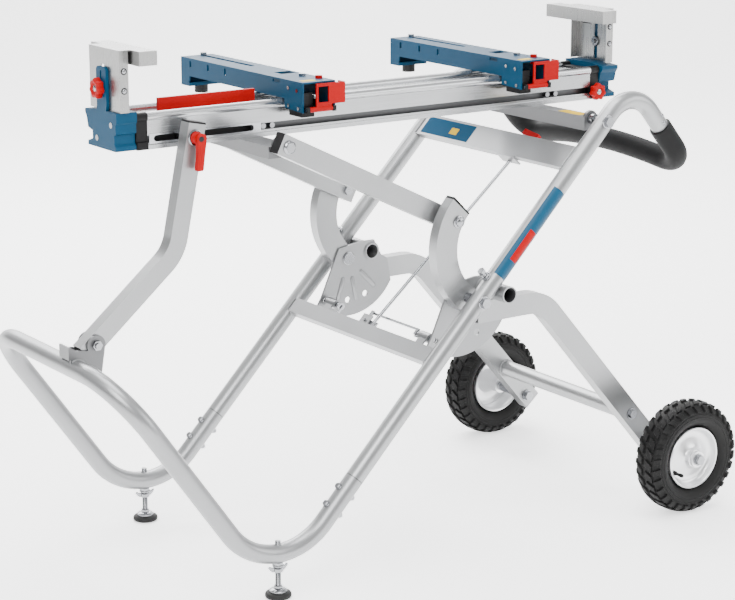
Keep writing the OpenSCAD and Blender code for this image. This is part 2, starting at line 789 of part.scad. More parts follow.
// Star knob of the height clamp, with its stud and inner nut
module height_knob(side) {
  x0 = -bracket_x - bracket_len;
  placed() at_end(side) translate([x0, 0, stud_z]) rotate([0, -90, 0]) {
    color("red") translate([0, 0, 0.4]) star_knob(17, 12, 7);
    color("silver") {
      translate([0, 0, -14]) cylinder(r = 4, h = 16);
      translate([0, 0, -11]) cylinder(r = 9, h = 3.4);
    }
  }
}

// Star knob that clamps a rail, on the side of the beam's end cap
module rail_knob(side) {
  placed() at_end(side) translate([-beam_x - 10, 32, rail_knob_z]) rotate([-90, 0, 0]) {
    color("silver") cylinder(r = 4, h = 24);
    color("red") translate([0, 0, 18]) star_knob(16, 13, 7);
  }
}

// --- Tool mounts -----------------------------------------------------------------------------

mount_front = -105;
mount_rear = 291;
skin = 2.5;

module mount_side_outline() {
  polygon([[mount_front, work_z], [mount_front, 772], [-49.5, 775], [-49.5, beam_top + 0.5], [262, beam_top + 0.5],
    [266, 772], [mount_rear, 772], [mount_rear, work_z]]);
}

// Folded blue channel that carries the saw
module tool_mount(i) {
  x0 = mount_x[i];
  x1 = x0 + mount_w;
  mid = (x0 + x1) / 2;
  placed() color("steelblue") difference() {
    union() {
      yz(x0, x0 + skin) mount_side_outline();
      yz(x1 - skin, x1) mount_side_outline();
      box([x0, mount_front, work_z - skin], [x1, mount_rear, work_z]);
      box([x0, mount_rear - skin, 772], [x1, mount_rear, work_z]);
      box([x0, 262, 772], [x1, mount_rear, 774.5]);
      box([x0, 262, 772], [x1, 264.5, 778]);
    }
    box([mid + 3, 115, work_z - 5], [mid + 12, 279, work_z + 1]);
    for (y = [115, 279]) translate([mid + 7.5, y, work_z - 5]) cylinder(r = 4.5, h = 8);
    box([mid - 4, 2, work_z - 5], [mid + 26, 27, work_z + 1]);
    for (y = [258, 198, 140]) box([x0 - 1, y - 3, 806], [x0 + skin + 1, y + 3, 817]);
    box([x0 - 1, -36, work_z - 8], [x0 + skin + 1, -14, work_z - skin]);
    translate([mid, 276, 760]) cylinder(r = 4, h = 16);
    translate([x1 - 12, -74, work_z - 5]) cylinder(r = 6.3, h = 8);
    translate([mid + 12, -36, work_z - 5]) cylinder(r = 4 + fit, h = 8);
  }
  placed() color("silver") {
    translate([mid + 7.5, 279, work_z]) cylinder(r = 6.5, h = 5.7, $fn = 6);
    translate([mid + 7.5, 279, work_z - 10]) cylinder(r = 4, h = 12);
    for (p = [[-62, 809], [-88, 807], [-62, 780], [-92, 778]]) translate([x0 - 1.2, p[0], p[1]]) rotate([0, 90, 0]) cylinder(r = 3, h = 1.4);
    translate([mid + 12, -36, work_z - 10]) cylinder(r = 4, h = 14);
    translate([mid + 12, -36, work_z]) cylinder(r = 6.5, h = 4.5, $fn = 6);
  }
  placed() color("black") translate([mid, 276, 758]) {
    cylinder(r = 12, h = 13.8);
    cylinder(r = 3.9, h = 18);
  }
}

latch_y = -109;
latch_z = 777;

// Black clamp block inside the front of a tool mount, with the lugs of its latch and a rubber foot
module mount_frame(i) {
  x0 = mount_x[i] + skin;
  x1 = mount_x[i] + mount_w - skin;
  placed() color("black") difference() {
    union() {
      box([x0, -103, 772.5], [x1, -50, 778]);
      box([x0, -100, 772.5], [x0 + 20, -92, 801]);
      box([x0, -60, 772.5], [x1, -50, 786]);
      box([x0, -100, 801], [x0 + 20, -86, 804]);
      box([x0, -99, 764], [x0 + 24, -60, 772.5]);
      for (x = [x0 + 1, x1 - 7]) box([x, latch_y - 4.5, 772.5], [x + 6, -100, 781.5]);
    }
    translate([x0 - 5, latch_y, latch_z]) rotate([0, 90, 0]) cylinder(r = 2.5 + running, h = 100);
  }
}

// Red latch lever across the front of a tool mount, hinged along its lower edge
module mount_latch(i) {
  lug = [mount_x[i] + skin + 7.5, mount_x[i] + mount_w - skin - 7.5];
  x0 = mount_x[i] + skin + 21;
  x1 = mount_x[i] + mount_w + 16;
  placed() {
    color("silver") translate([lug[0] - 6, latch_y, latch_z]) rotate([0, 90, 0]) cylinder(r = 2.5, h = lug[1] - lug[0] + 12);
    color("red") difference() {
      union() {
        box([x0, latch_y - 1.5, latch_z], [lug[1], latch_y + 1, 819]);
        box([x0, latch_y - 1.5, 784.5], [x1, latch_y + 1, 819]);
        box([x1 - 2.5, latch_y - 1.5, 785], [x1, -92, 819]);
        translate([lug[0], latch_y, latch_z]) rotate([0, 90, 0]) cylinder(r = 4.3, h = lug[1] - lug[0]);
      }
      box([x0 + 4, -120, 788], [x0 + 24, -100, 814]);
    }
  }
}

// Red release button on a tool mount
module mount_button(i) {
  x1 = mount_x[i] + mount_w;
  placed() color("red") translate([x1 - 12, -74, work_z - 12]) cylinder(r = 6, h = 17);
}

// --- Fold lock ---------------------------------------------------------------------------------

rod_from = [-100, -8, -4];
rod_to = [345, -69.9, -3.4];

// Pull rod with its red handle, from under the beam down to the crank
module release_rod() {
  run = rod_to - rod_from;
  yaw = atan2(run[1], run[0]);
  pitch = atan2(run[2], norm([run[0], run[1]]));
  placed() at_main() translate(rod_from) rotate([0, 0, yaw]) rotate([0, 90 - pitch, 0]) {
    color("silver") cylinder(r = 3, h = norm(run) - 8);
    color("red") {
      translate([-4, -22, norm(run) - 15]) cube([8, 44, 11]);
      translate([-4, -8, norm(run) - 26]) cube([8, 16, 12]);
    }
  }
}

// Flat crank that turns the rod's pull into the pins' travel
module release_crank() {
  placed() color("dimgray") at_main() translate([crank_at[0], crank_at[1], -11]) difference() {
    union() {
      cylinder(r = 8, h = 3);
      box([-4, -32, 0], [4, 0, 3]);
      box([-23, -4, 0], [23, 4, 3]);
      cylinder(r = 3, h = 9);
    }
    translate([0, -28, -1]) cylinder(r = 1.6, h = 5);
  }
}

// Lock pin with its link to the crank
module lock_pin(side) {
  link_s = crank_at[0] + (side < 0 ? 20 : -20);
  inner = crank_at[1];
  placed() at_main() {
    color("silver") {
      translate([pin_s, side * pin_tip, pin_n]) rotate([side * 90, 0, 0]) cylinder(r = 5, h = pin_tip - 116);
      translate([pin_s, side * 120, pin_n]) rotate([side * 90, 0, 0]) cylinder(r = 7, h = 5, $fn = 6);
      box([min(pin_s, link_s) - 2, side > 0 ? 112 : -116, pin_n - 2], [max(pin_s, link_s) + 2, side > 0 ? 116 : -112, pin_n + 1.5]);
      box([link_s - 2, side > 0 ? inner - 3 : -116, pin_n - 2], [link_s + 2, side > 0 ? 116 : inner + 3, pin_n + 1.5]);
    }
  }
}

// --- Levelling feet -------------------------------------------------------------------------------

// Threaded levelling foot with its rubber pad and wing nut
module foot(side) {
  placed() translate([foot_at, side * side_y, 0]) {
    color("black") cylinder(r = 22, h = 10);
    color("silver") {
      translate([0, 0, 10]) cylinder(r = 14, h = 5);
      translate([0, 0, 15]) cylinder(r = 5, h = 83);
      translate([0, 0, 44]) cylinder(r = 8, h = 9);
      box([-19, -1.5, 45], [19, 1.5, 54]);
    }
  }
}

upper_frame_tube();
foot_loop_tube();
splice_sleeves();
splice_bolts();
upper_crossbar();
lower_crossbar();
handle_grip();
frame_pivot_bolts();
stop_adjusters();
strut_bracket();
leg_tube(-1);  // leg_tube_front
leg_tube(1);  // leg_tube_rear
curved_arm(-1);  // curved_arm_front
curved_arm(1);  // curved_arm_rear
gusset(-1);  // gusset_front
gusset(1);  // gusset_rear
carriage_cross_tube();
carriage_fasteners();
tube_plugs();
axles();
rim(-1);  // rim_front
rim(1);  // rim_rear
tyre(-1);  // tyre_front
tyre(1);  // tyre_rear
lift_bar(-1);  // lift_bar_front
lift_bar(1);  // lift_bar_rear
beam_profile();
beam_end_caps();
beam_channels();
slot_plate();
beam_bolts();
stop_strip();
strut();
strut_cap();
clamp_lever();
slot_nut();
rail(-1);  // rail_left
rail(1);  // rail_right
end_bracket(-1);  // end_bracket_left
end_bracket(1);  // end_bracket_right
work_support(-1);  // work_support_left
work_support(1);  // work_support_right
height_knob(-1);  // height_knob_left
height_knob(1);  // height_knob_right
rail_knob(-1);  // rail_knob_left
rail_knob(1);  // rail_knob_right
tool_mount(0);  // tool_mount_left
tool_mount(1);  // tool_mount_right
mount_frame(0);  // mount_frame_left
mount_frame(1);  // mount_frame_right
mount_latch(0);  // mount_latch_left
mount_latch(1);  // mount_latch_right
mount_button(0);  // mount_button_left
mount_button(1);  // mount_button_right
release_rod();
release_crank();
lock_pin(-1);  // lock_pin_front
lock_pin(1);  // lock_pin_rear
foot(-1);  // foot_front
foot(1);  // foot_rear
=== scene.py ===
"""Looks of the folding miter saw stand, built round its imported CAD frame."""
import bpy
import json
import math
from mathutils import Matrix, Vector


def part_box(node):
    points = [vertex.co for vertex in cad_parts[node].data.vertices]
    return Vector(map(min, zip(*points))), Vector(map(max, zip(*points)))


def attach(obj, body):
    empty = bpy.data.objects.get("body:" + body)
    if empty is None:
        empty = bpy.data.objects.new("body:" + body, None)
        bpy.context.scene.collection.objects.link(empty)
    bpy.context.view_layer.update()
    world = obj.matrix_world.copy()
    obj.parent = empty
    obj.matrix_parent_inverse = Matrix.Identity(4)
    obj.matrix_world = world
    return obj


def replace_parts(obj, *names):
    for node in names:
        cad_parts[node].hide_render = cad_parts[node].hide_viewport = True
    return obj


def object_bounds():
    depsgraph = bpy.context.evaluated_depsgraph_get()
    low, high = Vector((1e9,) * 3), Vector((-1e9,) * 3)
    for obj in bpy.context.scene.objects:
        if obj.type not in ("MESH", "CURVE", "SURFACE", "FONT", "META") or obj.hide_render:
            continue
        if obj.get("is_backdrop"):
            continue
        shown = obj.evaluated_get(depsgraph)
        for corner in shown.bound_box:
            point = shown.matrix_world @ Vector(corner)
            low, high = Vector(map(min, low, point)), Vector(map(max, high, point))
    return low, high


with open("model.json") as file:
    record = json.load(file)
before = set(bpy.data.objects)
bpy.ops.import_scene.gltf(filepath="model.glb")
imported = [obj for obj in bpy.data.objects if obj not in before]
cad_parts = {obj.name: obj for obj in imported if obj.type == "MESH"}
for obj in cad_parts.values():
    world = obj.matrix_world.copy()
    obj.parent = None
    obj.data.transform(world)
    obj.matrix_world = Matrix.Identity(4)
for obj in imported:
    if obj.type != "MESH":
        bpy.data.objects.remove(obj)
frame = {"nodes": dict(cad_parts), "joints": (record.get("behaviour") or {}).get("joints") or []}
CAD_LOW, CAD_HIGH = (Vector(v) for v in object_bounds())
NODES = frame["nodes"]
JOINT = {j["name"]: Vector(j.get("pos_m") or (0, 0, 0)) for j in frame["joints"]}
MM = 0.001
X, Y, Z = Vector((1, 0, 0)), Vector((0, 1, 0)), Vector((0, 0, 1))
PIVOT, BEAM_PIVOT, LIFT_PIVOT = JOINT["carriage_fold"], JOINT["beam_fold"], JOINT["lift_fold"]
LEVER, AXLE = JOINT["clamp_lever_turn"], JOINT["wheel_front_spin"]
MAIN_ANGLE = math.radians(46.2)
ALONG = Vector((math.cos(MAIN_ANGLE), 0, math.sin(MAIN_ANGLE)))      # up a main tube
ABOVE = Vector((-math.sin(MAIN_ANGLE), 0, math.cos(MAIN_ANGLE)))     # square to it, up and left
SIDE_Y = 0.224              # middle of a main tube
TUBE_R = 0.016
BEAM_LOW, BEAM_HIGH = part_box("beam_profile")
MIDDLE = (BEAM_LOW.x + BEAM_HIGH.x) / 2
MOUNT_TOP_Z = 0.822         # top faces of the tool mounts, which carry the saw
BUMP_DISTANCE = 0.0002


# --- Materials -----------------------------------------------------------------

def new_material(name, base, metallic, rough, bump=0.1, grain=900.0, spread=0.04, stretch=None,
                 blotch=14.0, dust=0.0, specular=0.5, glow=0.0):
    """Base colour and roughness vary a little with noise, over a fine bump. stretch draws the
    grain out along an axis."""
    m = bpy.data.materials.new(name)
    m.use_nodes = True
    nodes, link = m.node_tree.nodes, m.node_tree.links.new
    bsdf = nodes["Principled BSDF"]
    bsdf.inputs["Metallic"].default_value = metallic
    bsdf.inputs["Specular IOR Level"].default_value = specular
    bsdf.inputs["Emission Color"].default_value = (1, 1, 1, 1)
    bsdf.inputs["Emission Strength"].default_value = glow
    coords = nodes.new("ShaderNodeTexCoord")
    place = nodes.new("ShaderNodeMapping")
    place.inputs["Scale"].default_value = stretch or (1, 1, 1)
    link(coords.outputs["Object"], place.inputs["Vector"])

    def noise(scale, detail, source):
        n = nodes.new("ShaderNodeTexNoise")
        n.inputs["Scale"].default_value = scale
        n.inputs["Detail"].default_value = detail
        link(source, n.inputs["Vector"])
        return n.outputs["Fac"]

    fine = noise(grain, 3, place.outputs["Vector"])
    broad = noise(blotch, 4, coords.outputs["Object"])
    tint = nodes.new("ShaderNodeValToRGB")
    low, high = tint.color_ramp.elements
    low.position, high.position = 0.3, 0.7
    low.color = tuple(c * (1 - spread * 1.6) for c in base) + (1,)
    high.color = tuple(min(1, c * (1 + spread)) for c in base) + (1,)
    blend = nodes.new("ShaderNodeMath")
    blend.operation = "MULTIPLY_ADD"
    blend.inputs[1].default_value = 0.55
    link(fine, blend.inputs[0])
    share = nodes.new("ShaderNodeMath")
    share.operation = "MULTIPLY"
    share.inputs[1].default_value = 0.45
    link(broad, share.inputs[0])
    link(share.outputs[0], blend.inputs[2])
    link(blend.outputs[0], tint.inputs["Fac"])
    colour = tint.outputs["Color"]
    if dust:
        mix = nodes.new("ShaderNodeMixRGB")
        mix.inputs["Color2"].default_value = (0.30, 0.29, 0.27, 1)
        speck = nodes.new("ShaderNodeValToRGB")
        clean, dusty = speck.color_ramp.elements
        clean.position, dusty.position = 0.5, 0.8
        dusty.color = (dust, dust, dust, 1)
        link(broad, speck.inputs["Fac"])
        link(speck.outputs["Color"], mix.inputs["Fac"])
        link(colour, mix.inputs["Color1"])
        colour = mix.outputs["Color"]
    link(colour, bsdf.inputs["Base Color"])
    sheen = nodes.new("ShaderNodeMapRange")
    sheen.inputs["To Min"].default_value = max(0.03, rough - 0.07)
    sheen.inputs["To Max"].default_value = min(1.0, rough + 0.07)
    link(blend.outputs[0], sheen.inputs["Value"])
    link(sheen.outputs["Result"], bsdf.inputs["Roughness"])
    relief = nodes.new("ShaderNodeBump")
    relief.inputs["Strength"].default_value = bump
    relief.inputs["Distance"].default_value = BUMP_DISTANCE
    link(fine, relief.inputs["Height"])
    link(relief.outputs["Normal"], bsdf.inputs["Normal"])
    return m


METAL_GRAIN = (0.02, 1, 1)      # drawn along X
MAT = {
    "frame": new_material("frame_coat", (0.315, 0.32, 0.325), 0.80, 0.33, 0.14, 1100, 0.06),
    # painted shade: a darker copy of the frame coat, for the foot loop tube that sits low by the
    # floor
    "frame_shaded_lower": new_material(
        "frame_coat_shaded_lower", (0.29, 0.294, 0.30), 0.80, 0.35, 0.14, 1100, 0.06),
    "frame_dark": new_material(
        "frame_coat_grey", (0.15, 0.152, 0.156), 0.75, 0.40, 0.14, 1000, 0.06),
    "frame_sheet": new_material(
        "frame_coat_sheet", (0.27, 0.274, 0.28), 0.80, 0.38, 0.14, 1100, 0.06),
    "groove": new_material(
        "groove_shadow", (0.10, 0.102, 0.105), 0.9, 0.42, 0.10, 520, 0.08, METAL_GRAIN),
    "label_matt": new_material(
        "blue_panel", (0.004, 0.052, 0.110), 0.0, 0.7, 0.05, 800, 0.06, specular=0.08),
    "dark": new_material(
        "hollow_dark", (0.010, 0.010, 0.011), 0.0, 0.6, 0.2, 900, 0.1, specular=0.25),
    "zinc": new_material("zinc_plate", (0.31, 0.316, 0.33), 1.0, 0.20, 0.05, 700, 0.10),
    "bright": new_material(
        "bright_steel", (0.50, 0.51, 0.53), 1.0, 0.20, 0.05, 420, 0.06, (0.15, 1, 1)),
    "rim": new_material("rim_coat", (0.74, 0.745, 0.755), 0.80, 0.30, 0.08, 900, 0.05),
    "alu": new_material(
        "drawn_aluminium", (0.45, 0.458, 0.468), 0.97, 0.25, 0.035, 520, 0.08, METAL_GRAIN),
    "sheet": new_material(
        "brushed_sheet", (0.37, 0.37, 0.366), 0.97, 0.28, 0.035, 560, 0.09, (1, 1, 0.03)),
    "blue": new_material(
        "blue_coat", (0.0012, 0.038, 0.082), 0.0, 0.46, 0.14, 1200, 0.08, specular=0.13),
    "cast": new_material(
        "blue_casting", (0.0012, 0.041, 0.088), 0.0, 0.48, 0.35, 1500, 0.10, specular=0.13),
    "black": new_material(
        "black_plastic", (0.003, 0.003, 0.0035), 0.0, 0.46, 0.3, 1600, 0.15, specular=0.2),
    "foam": new_material(
        "foam_sleeve", (0.004, 0.004, 0.0043), 0.0, 0.66, 0.55, 900, 0.25,
        blotch=30, specular=0.18),
    "tyre": new_material(
        "tyre_rubber", (0.0045, 0.0045, 0.0045), 0.0, 0.62, 0.4, 1100, 0.25,
        dust=0.012, specular=0.2),
    "rubber": new_material(
        "rubber_pad", (0.008, 0.008, 0.008), 0.0, 0.6, 0.4, 1200, 0.2, specular=0.3),
    "red": new_material(
        "red_plastic", (0.32, 0.0, 0.0015), 0.0, 0.44, 0.15, 1300, 0.08, specular=0.10),
    "red_coat": new_material(
        "red_coat", (0.34, 0.0, 0.0015), 0.0, 0.48, 0.1, 1100, 0.06, specular=0.09),
    "yellow": new_material(
        "yellow_label", (0.56, 0.36, 0.0), 0.0, 0.5, 0.05, 800, 0.05, specular=0.08),
    "label": new_material(
        "blue_label", (0.004, 0.056, 0.112), 0.0, 0.40, 0.05, 800, 0.05, specular=0.2),
    "label_red": new_material(
        "red_label", (0.32, 0.0, 0.002), 0.0, 0.46, 0.05, 800, 0.05, specular=0.10),
    "weld": new_material("weld_bead", (0.27, 0.275, 0.28), 0.75, 0.42, 0.5, 500, 0.10),
    "floor": new_material(
        "studio_floor", (0.96, 0.96, 0.96), 0.0, 0.9, 0.02, 60, 0.005, blotch=1.5, glow=1.3),
}


def both(name):
    return [name + "_front", name + "_rear"]


def ends(name):
    return [name + "_left", name + "_right"]


# Material of each CAD node
LOOK = {
    "frame": ["upper_frame_tube", "carriage_cross_tube", "strut"]
             + both("leg_tube") + both("curved_arm") + both("lift_bar"),
    # the foot loop tube takes the darker copy of the coat, as painted shade
    "frame_shaded_lower": ["foot_loop_tube"],
    "frame_sheet": ["upper_crossbar", "lower_crossbar"] + both("gusset"),
    "frame_dark": ["strut_bracket", "beam_channels"],
    "zinc": ["splice_sleeves", "splice_bolts", "frame_pivot_bolts", "stop_adjusters",
             "carriage_fasteners", "axles", "beam_bolts", "slot_nut", "release_rod",
             "release_crank"] + both("lock_pin"),
    "bright": ["slot_plate"] + ends("rail"),
    "alu": ["beam_profile"],
    "sheet": ends("work_support"),
    "cast": ends("end_bracket"),
    "blue": ends("tool_mount"),
    "red": ["clamp_lever"] + ends("height_knob") + ends("rail_knob")
           + ends("mount_latch") + ends("mount_button"),
    "red_coat": ["stop_strip"],
    "black": ["tube_plugs", "beam_end_caps", "strut_cap"] + ends("mount_frame"),
    "foam": ["handle_grip"],
    "rubber": both("foot"),
    "rim": both("rim"),
    "tyre": both("tyre"),
}


def bevel(obj, width, segments=2, angle=30):
    b = obj.modifiers.new("rounded_edges", "BEVEL")
    b.width = width
    b.segments = segments
    b.limit_method = "ANGLE"
    b.angle_limit = math.radians(angle)
    b.harden_normals = False


def smooth(obj, angle=35):
    for p in obj.data.polygons:
        p.use_smooth = True
    obj.data.set_sharp_from_angle(angle=math.radians(angle))


for look, nodes in LOOK.items():
    for node in nodes:
        o = NODES[node]
        o.data.materials.clear()
        o.data.materials.append(MAT[look])
        smooth(o, 28)


# --- Mesh builders ---------------------------------------------------------------

def piece(name, verts, faces, look, body, sharp=35):
    """Makes a mesh object that rides on a body; edges sharper than the angle stay crisp."""
    mesh = bpy.data.meshes.new(name)
    mesh.from_pydata([tuple(v) for v in verts], [], faces)
    mesh.validate()
    mesh.materials.append(MAT[look])
    o = bpy.data.objects.new(name, mesh)
    bpy.context.scene.collection.objects.link(o)
    smooth(o, sharp)
    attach(o, body)
    return o


def basis(axis, hint=Z):
    """Two unit vectors square to axis and to each other."""
    a = axis.normalized()
    h = hint if abs(a.dot(hint)) < 0.9 else X
    u = (h - a * a.dot(h)).normalized()
    return u, a.cross(u)


class Shell:
    """Collects parts of one mesh."""

    def __init__(self):
        self.v, self.f = [], []

    def add(self, verts, faces):
        n = len(self.v)
        self.v += [Vector(p) for p in verts]
        self.f += [tuple(n + i for i in f) for f in faces]

    def turn(self, origin, axis, profile, count=32, hint=Z, turn=0.0, wave=None):
        """Revolves (radius, height) points; wave(angle, radius, height) can change a radius."""
        u, w = basis(axis, hint)
        a = axis.normalized()
        rows, verts, faces = [], [], []
        for r, h in profile:
            row = []
            if r < 1e-7:
                row = [len(verts)]
                verts.append(origin + a * h)
            else:
                for i in range(count):
                    t = 2 * math.pi * i / count + turn
                    q = wave(t, r, h) if wave else r
                    row.append(len(verts))
                    verts.append(origin + a * h + (u * math.cos(t) + w * math.sin(t)) * q)
            rows.append(row)
        for p, q in zip(rows, rows[1:]):
            for i in range(count):
                k = (i + 1) % count
                if len(p) == 1 and len(q) == 1:
                    continue
                if len(p) == 1:
                    faces.append((p[0], q[i], q[k]))
                elif len(q) == 1:
                    faces.append((p[i], q[0], p[k]))
                else:
                    faces.append((p[i], q[i], q[k], p[k]))
        for row, flip in ((rows[0], False), (rows[-1], True)):
            if len(row) > 1:
                faces.append(tuple(reversed(row)) if flip else tuple(row))
        self.add(verts, [tuple(reversed(f)) for f in faces])

    def ring(self, origin, axis, profile, count=48, hint=Z, wave=None):
        """Revolves a closed loop of (radius, height) points."""
        u, w = basis(axis, hint)
        a = axis.normalized()
        m = len(profile)
        verts, faces = [], []
        for i in range(count):
            t = 2 * math.pi * i / count
            for r, h in profile:
                q = wave(t, r, h) if wave else r
                verts.append(origin + a * h + (u * math.cos(t) + w * math.sin(t)) * q)
        for i in range(count):
            k = (i + 1) % count
            for j in range(m):
                n = (j + 1) % m
                faces.append((i * m + j, i * m + n, k * m + n, k * m + j))
        self.add(verts, faces)

    def hexagon(self, origin, axis, across, height, hint=Z, turn=0.0):
        """Chamfered and slightly domed hexagon head; across is the size over the corners."""
        r = across / 2
        steps = [(r * 0.93, 0), (r, height * 0.10), (r, height * 0.80), (r * 0.86, height)]
        self.turn(origin, axis, steps, 6, hint, turn)
        crown = origin + axis.normalized() * height * 0.98
        self.turn(crown, axis, [(r * 0.8, 0), (r * 0.76, height * 0.06)], 24, hint)

    def thread(self, origin, axis, radius, length, pitch=0.00125, depth=0.0006, count=20):
        """Screw thread of a given outer radius, with a helical groove."""
        u, w = basis(axis)
        a = axis.normalized()
        turns = max(1, int(round(length / pitch)))
        per = 4
        rows = turns * per
        verts, faces = [], []
        for j in range(rows + 1):
            for i in range(count):
                t = 2 * math.pi * i / count
                phase = (j / per - i / count) * 2 * math.pi
                r = radius - depth * (0.5 + 0.5 * math.cos(phase))
                if j == rows:
                    r *= 0.9
                spoke = u * math.cos(t) + w * math.sin(t)
                verts.append(origin + a * (length * j / rows) + spoke * r)
        for j in range(rows):
            low, high = j * count, (j + 1) * count
            for i in range(count):
                k = (i + 1) % count
                faces.append((low + i, low + k, high + k, high + i))
        faces.append(tuple(reversed(range(count))))
        faces.append(tuple(rows * count + i for i in range(count)))
        self.add(verts, faces)

    def sweep(self, points, radius, sides=8, wobble=0.0):
        """Round bar along points. wobble swells it in ripples, as a weld bead has."""
        pts = [Vector(p) for p in points]
        verts, faces = [], []
        u = None
        for i, p in enumerate(pts):
            d = (pts[min(i + 1, len(pts) - 1)] - pts[max(i - 1, 0)]).normalized()
            if u is None:
                u, w = basis(d)
            else:
                u = (u - d * d.dot(u)).normalized()
                w = d.cross(u)
            r = radius * (1 + wobble * (1 if i % 2 else -1))
            if i in (0, len(pts) - 1):
                r *= 0.7
            for k in range(sides):
                t = 2 * math.pi * k / sides
                verts.append(p + (u * math.cos(t) + w * math.sin(t)) * r)
        for i in range(len(pts) - 1):
            low, high = i * sides, (i + 1) * sides
            for k in range(sides):
                n = (k + 1) % sides
                faces.append((low + k, low + n, high + n, high + k))
        faces.append(tuple(reversed(range(sides))))
        faces.append(tuple((len(pts) - 1) * sides + k for k in range(sides)))
        self.add(verts, faces)

    def slab(self, outline, origin, u, w, depth, chamfer=0.0):
        """Extrudes an outline of (a, b) points in the plane of u and w, by depth along u x w."""
        a = u.cross(w).normalized()
        n = len(outline)
        layers = [(0.0, chamfer), (chamfer, 0.0), (depth - chamfer, 0.0), (depth, chamfer)]
        if not chamfer:
            layers = [(0.0, 0.0), (depth, 0.0)]
        verts, faces = [], []
        for h, inset in layers:
            for i, (px, py) in enumerate(outline):
                if inset:
                    qx, qy = outline[i - 1]
                    rx, ry = outline[(i + 1) % n]
                    e1 = Vector((px - qx, py - qy)).normalized()
                    e2 = Vector((rx - px, ry - py)).normalized()
                    n1, n2 = Vector((-e1.y, e1.x)), Vector((-e2.y, e2.x))
                    m = n1 + n2
                    m = m / max(0.3, m.length_squared) * 2 if m.length > 1e-6 else n1
                    px, py = px + m.x * inset, py + m.y * inset
                verts.append(origin + u * px + w * py + a * h)
        for j in range(len(layers) - 1):
            low, high = j * n, (j + 1) * n
            for i in range(n):
                k = (i + 1) % n
                faces.append((low + i, low + k, high + k, high + i))
        faces.append(tuple(reversed(range(n))))
        faces.append(tuple((len(layers) - 1) * n + i for i in range(n)))
        self.add(verts, faces)

    def block(self, low, high):
        l, h = Vector(low), Vector(high)
        w, d = h.x - l.x, h.y - l.y
        self.slab([(0, 0), (w, 0), (w, d), (0, d)], l, X, Y, h.z - l.z)

    def make(self, name, look, body, slot, sharp=35):
        return piece(name, self.v, self.f, look, body, sharp)


def angles(a0, a1, n):
    """n + 1 even steps from a0 to a1, given in degrees and returned in radians."""
    return [math.radians(a0 + (a1 - a0) * i / n) for i in range(n + 1)]


def arc(cx, cy, r, a0, a1, n=10):
    return [(cx + r * math.cos(t), cy + r * math.sin(t)) for t in angles(a0, a1, n)]


def on_main(s, y, n):
    """Point beside a main tube: s up it from the carriage pivot, n square to it."""
    return Vector((PIVOT.x, 0, PIVOT.z)) + ALONG * s + ABOVE * n + Y * y


# --- Wheels -------------------------------------------------------------------------

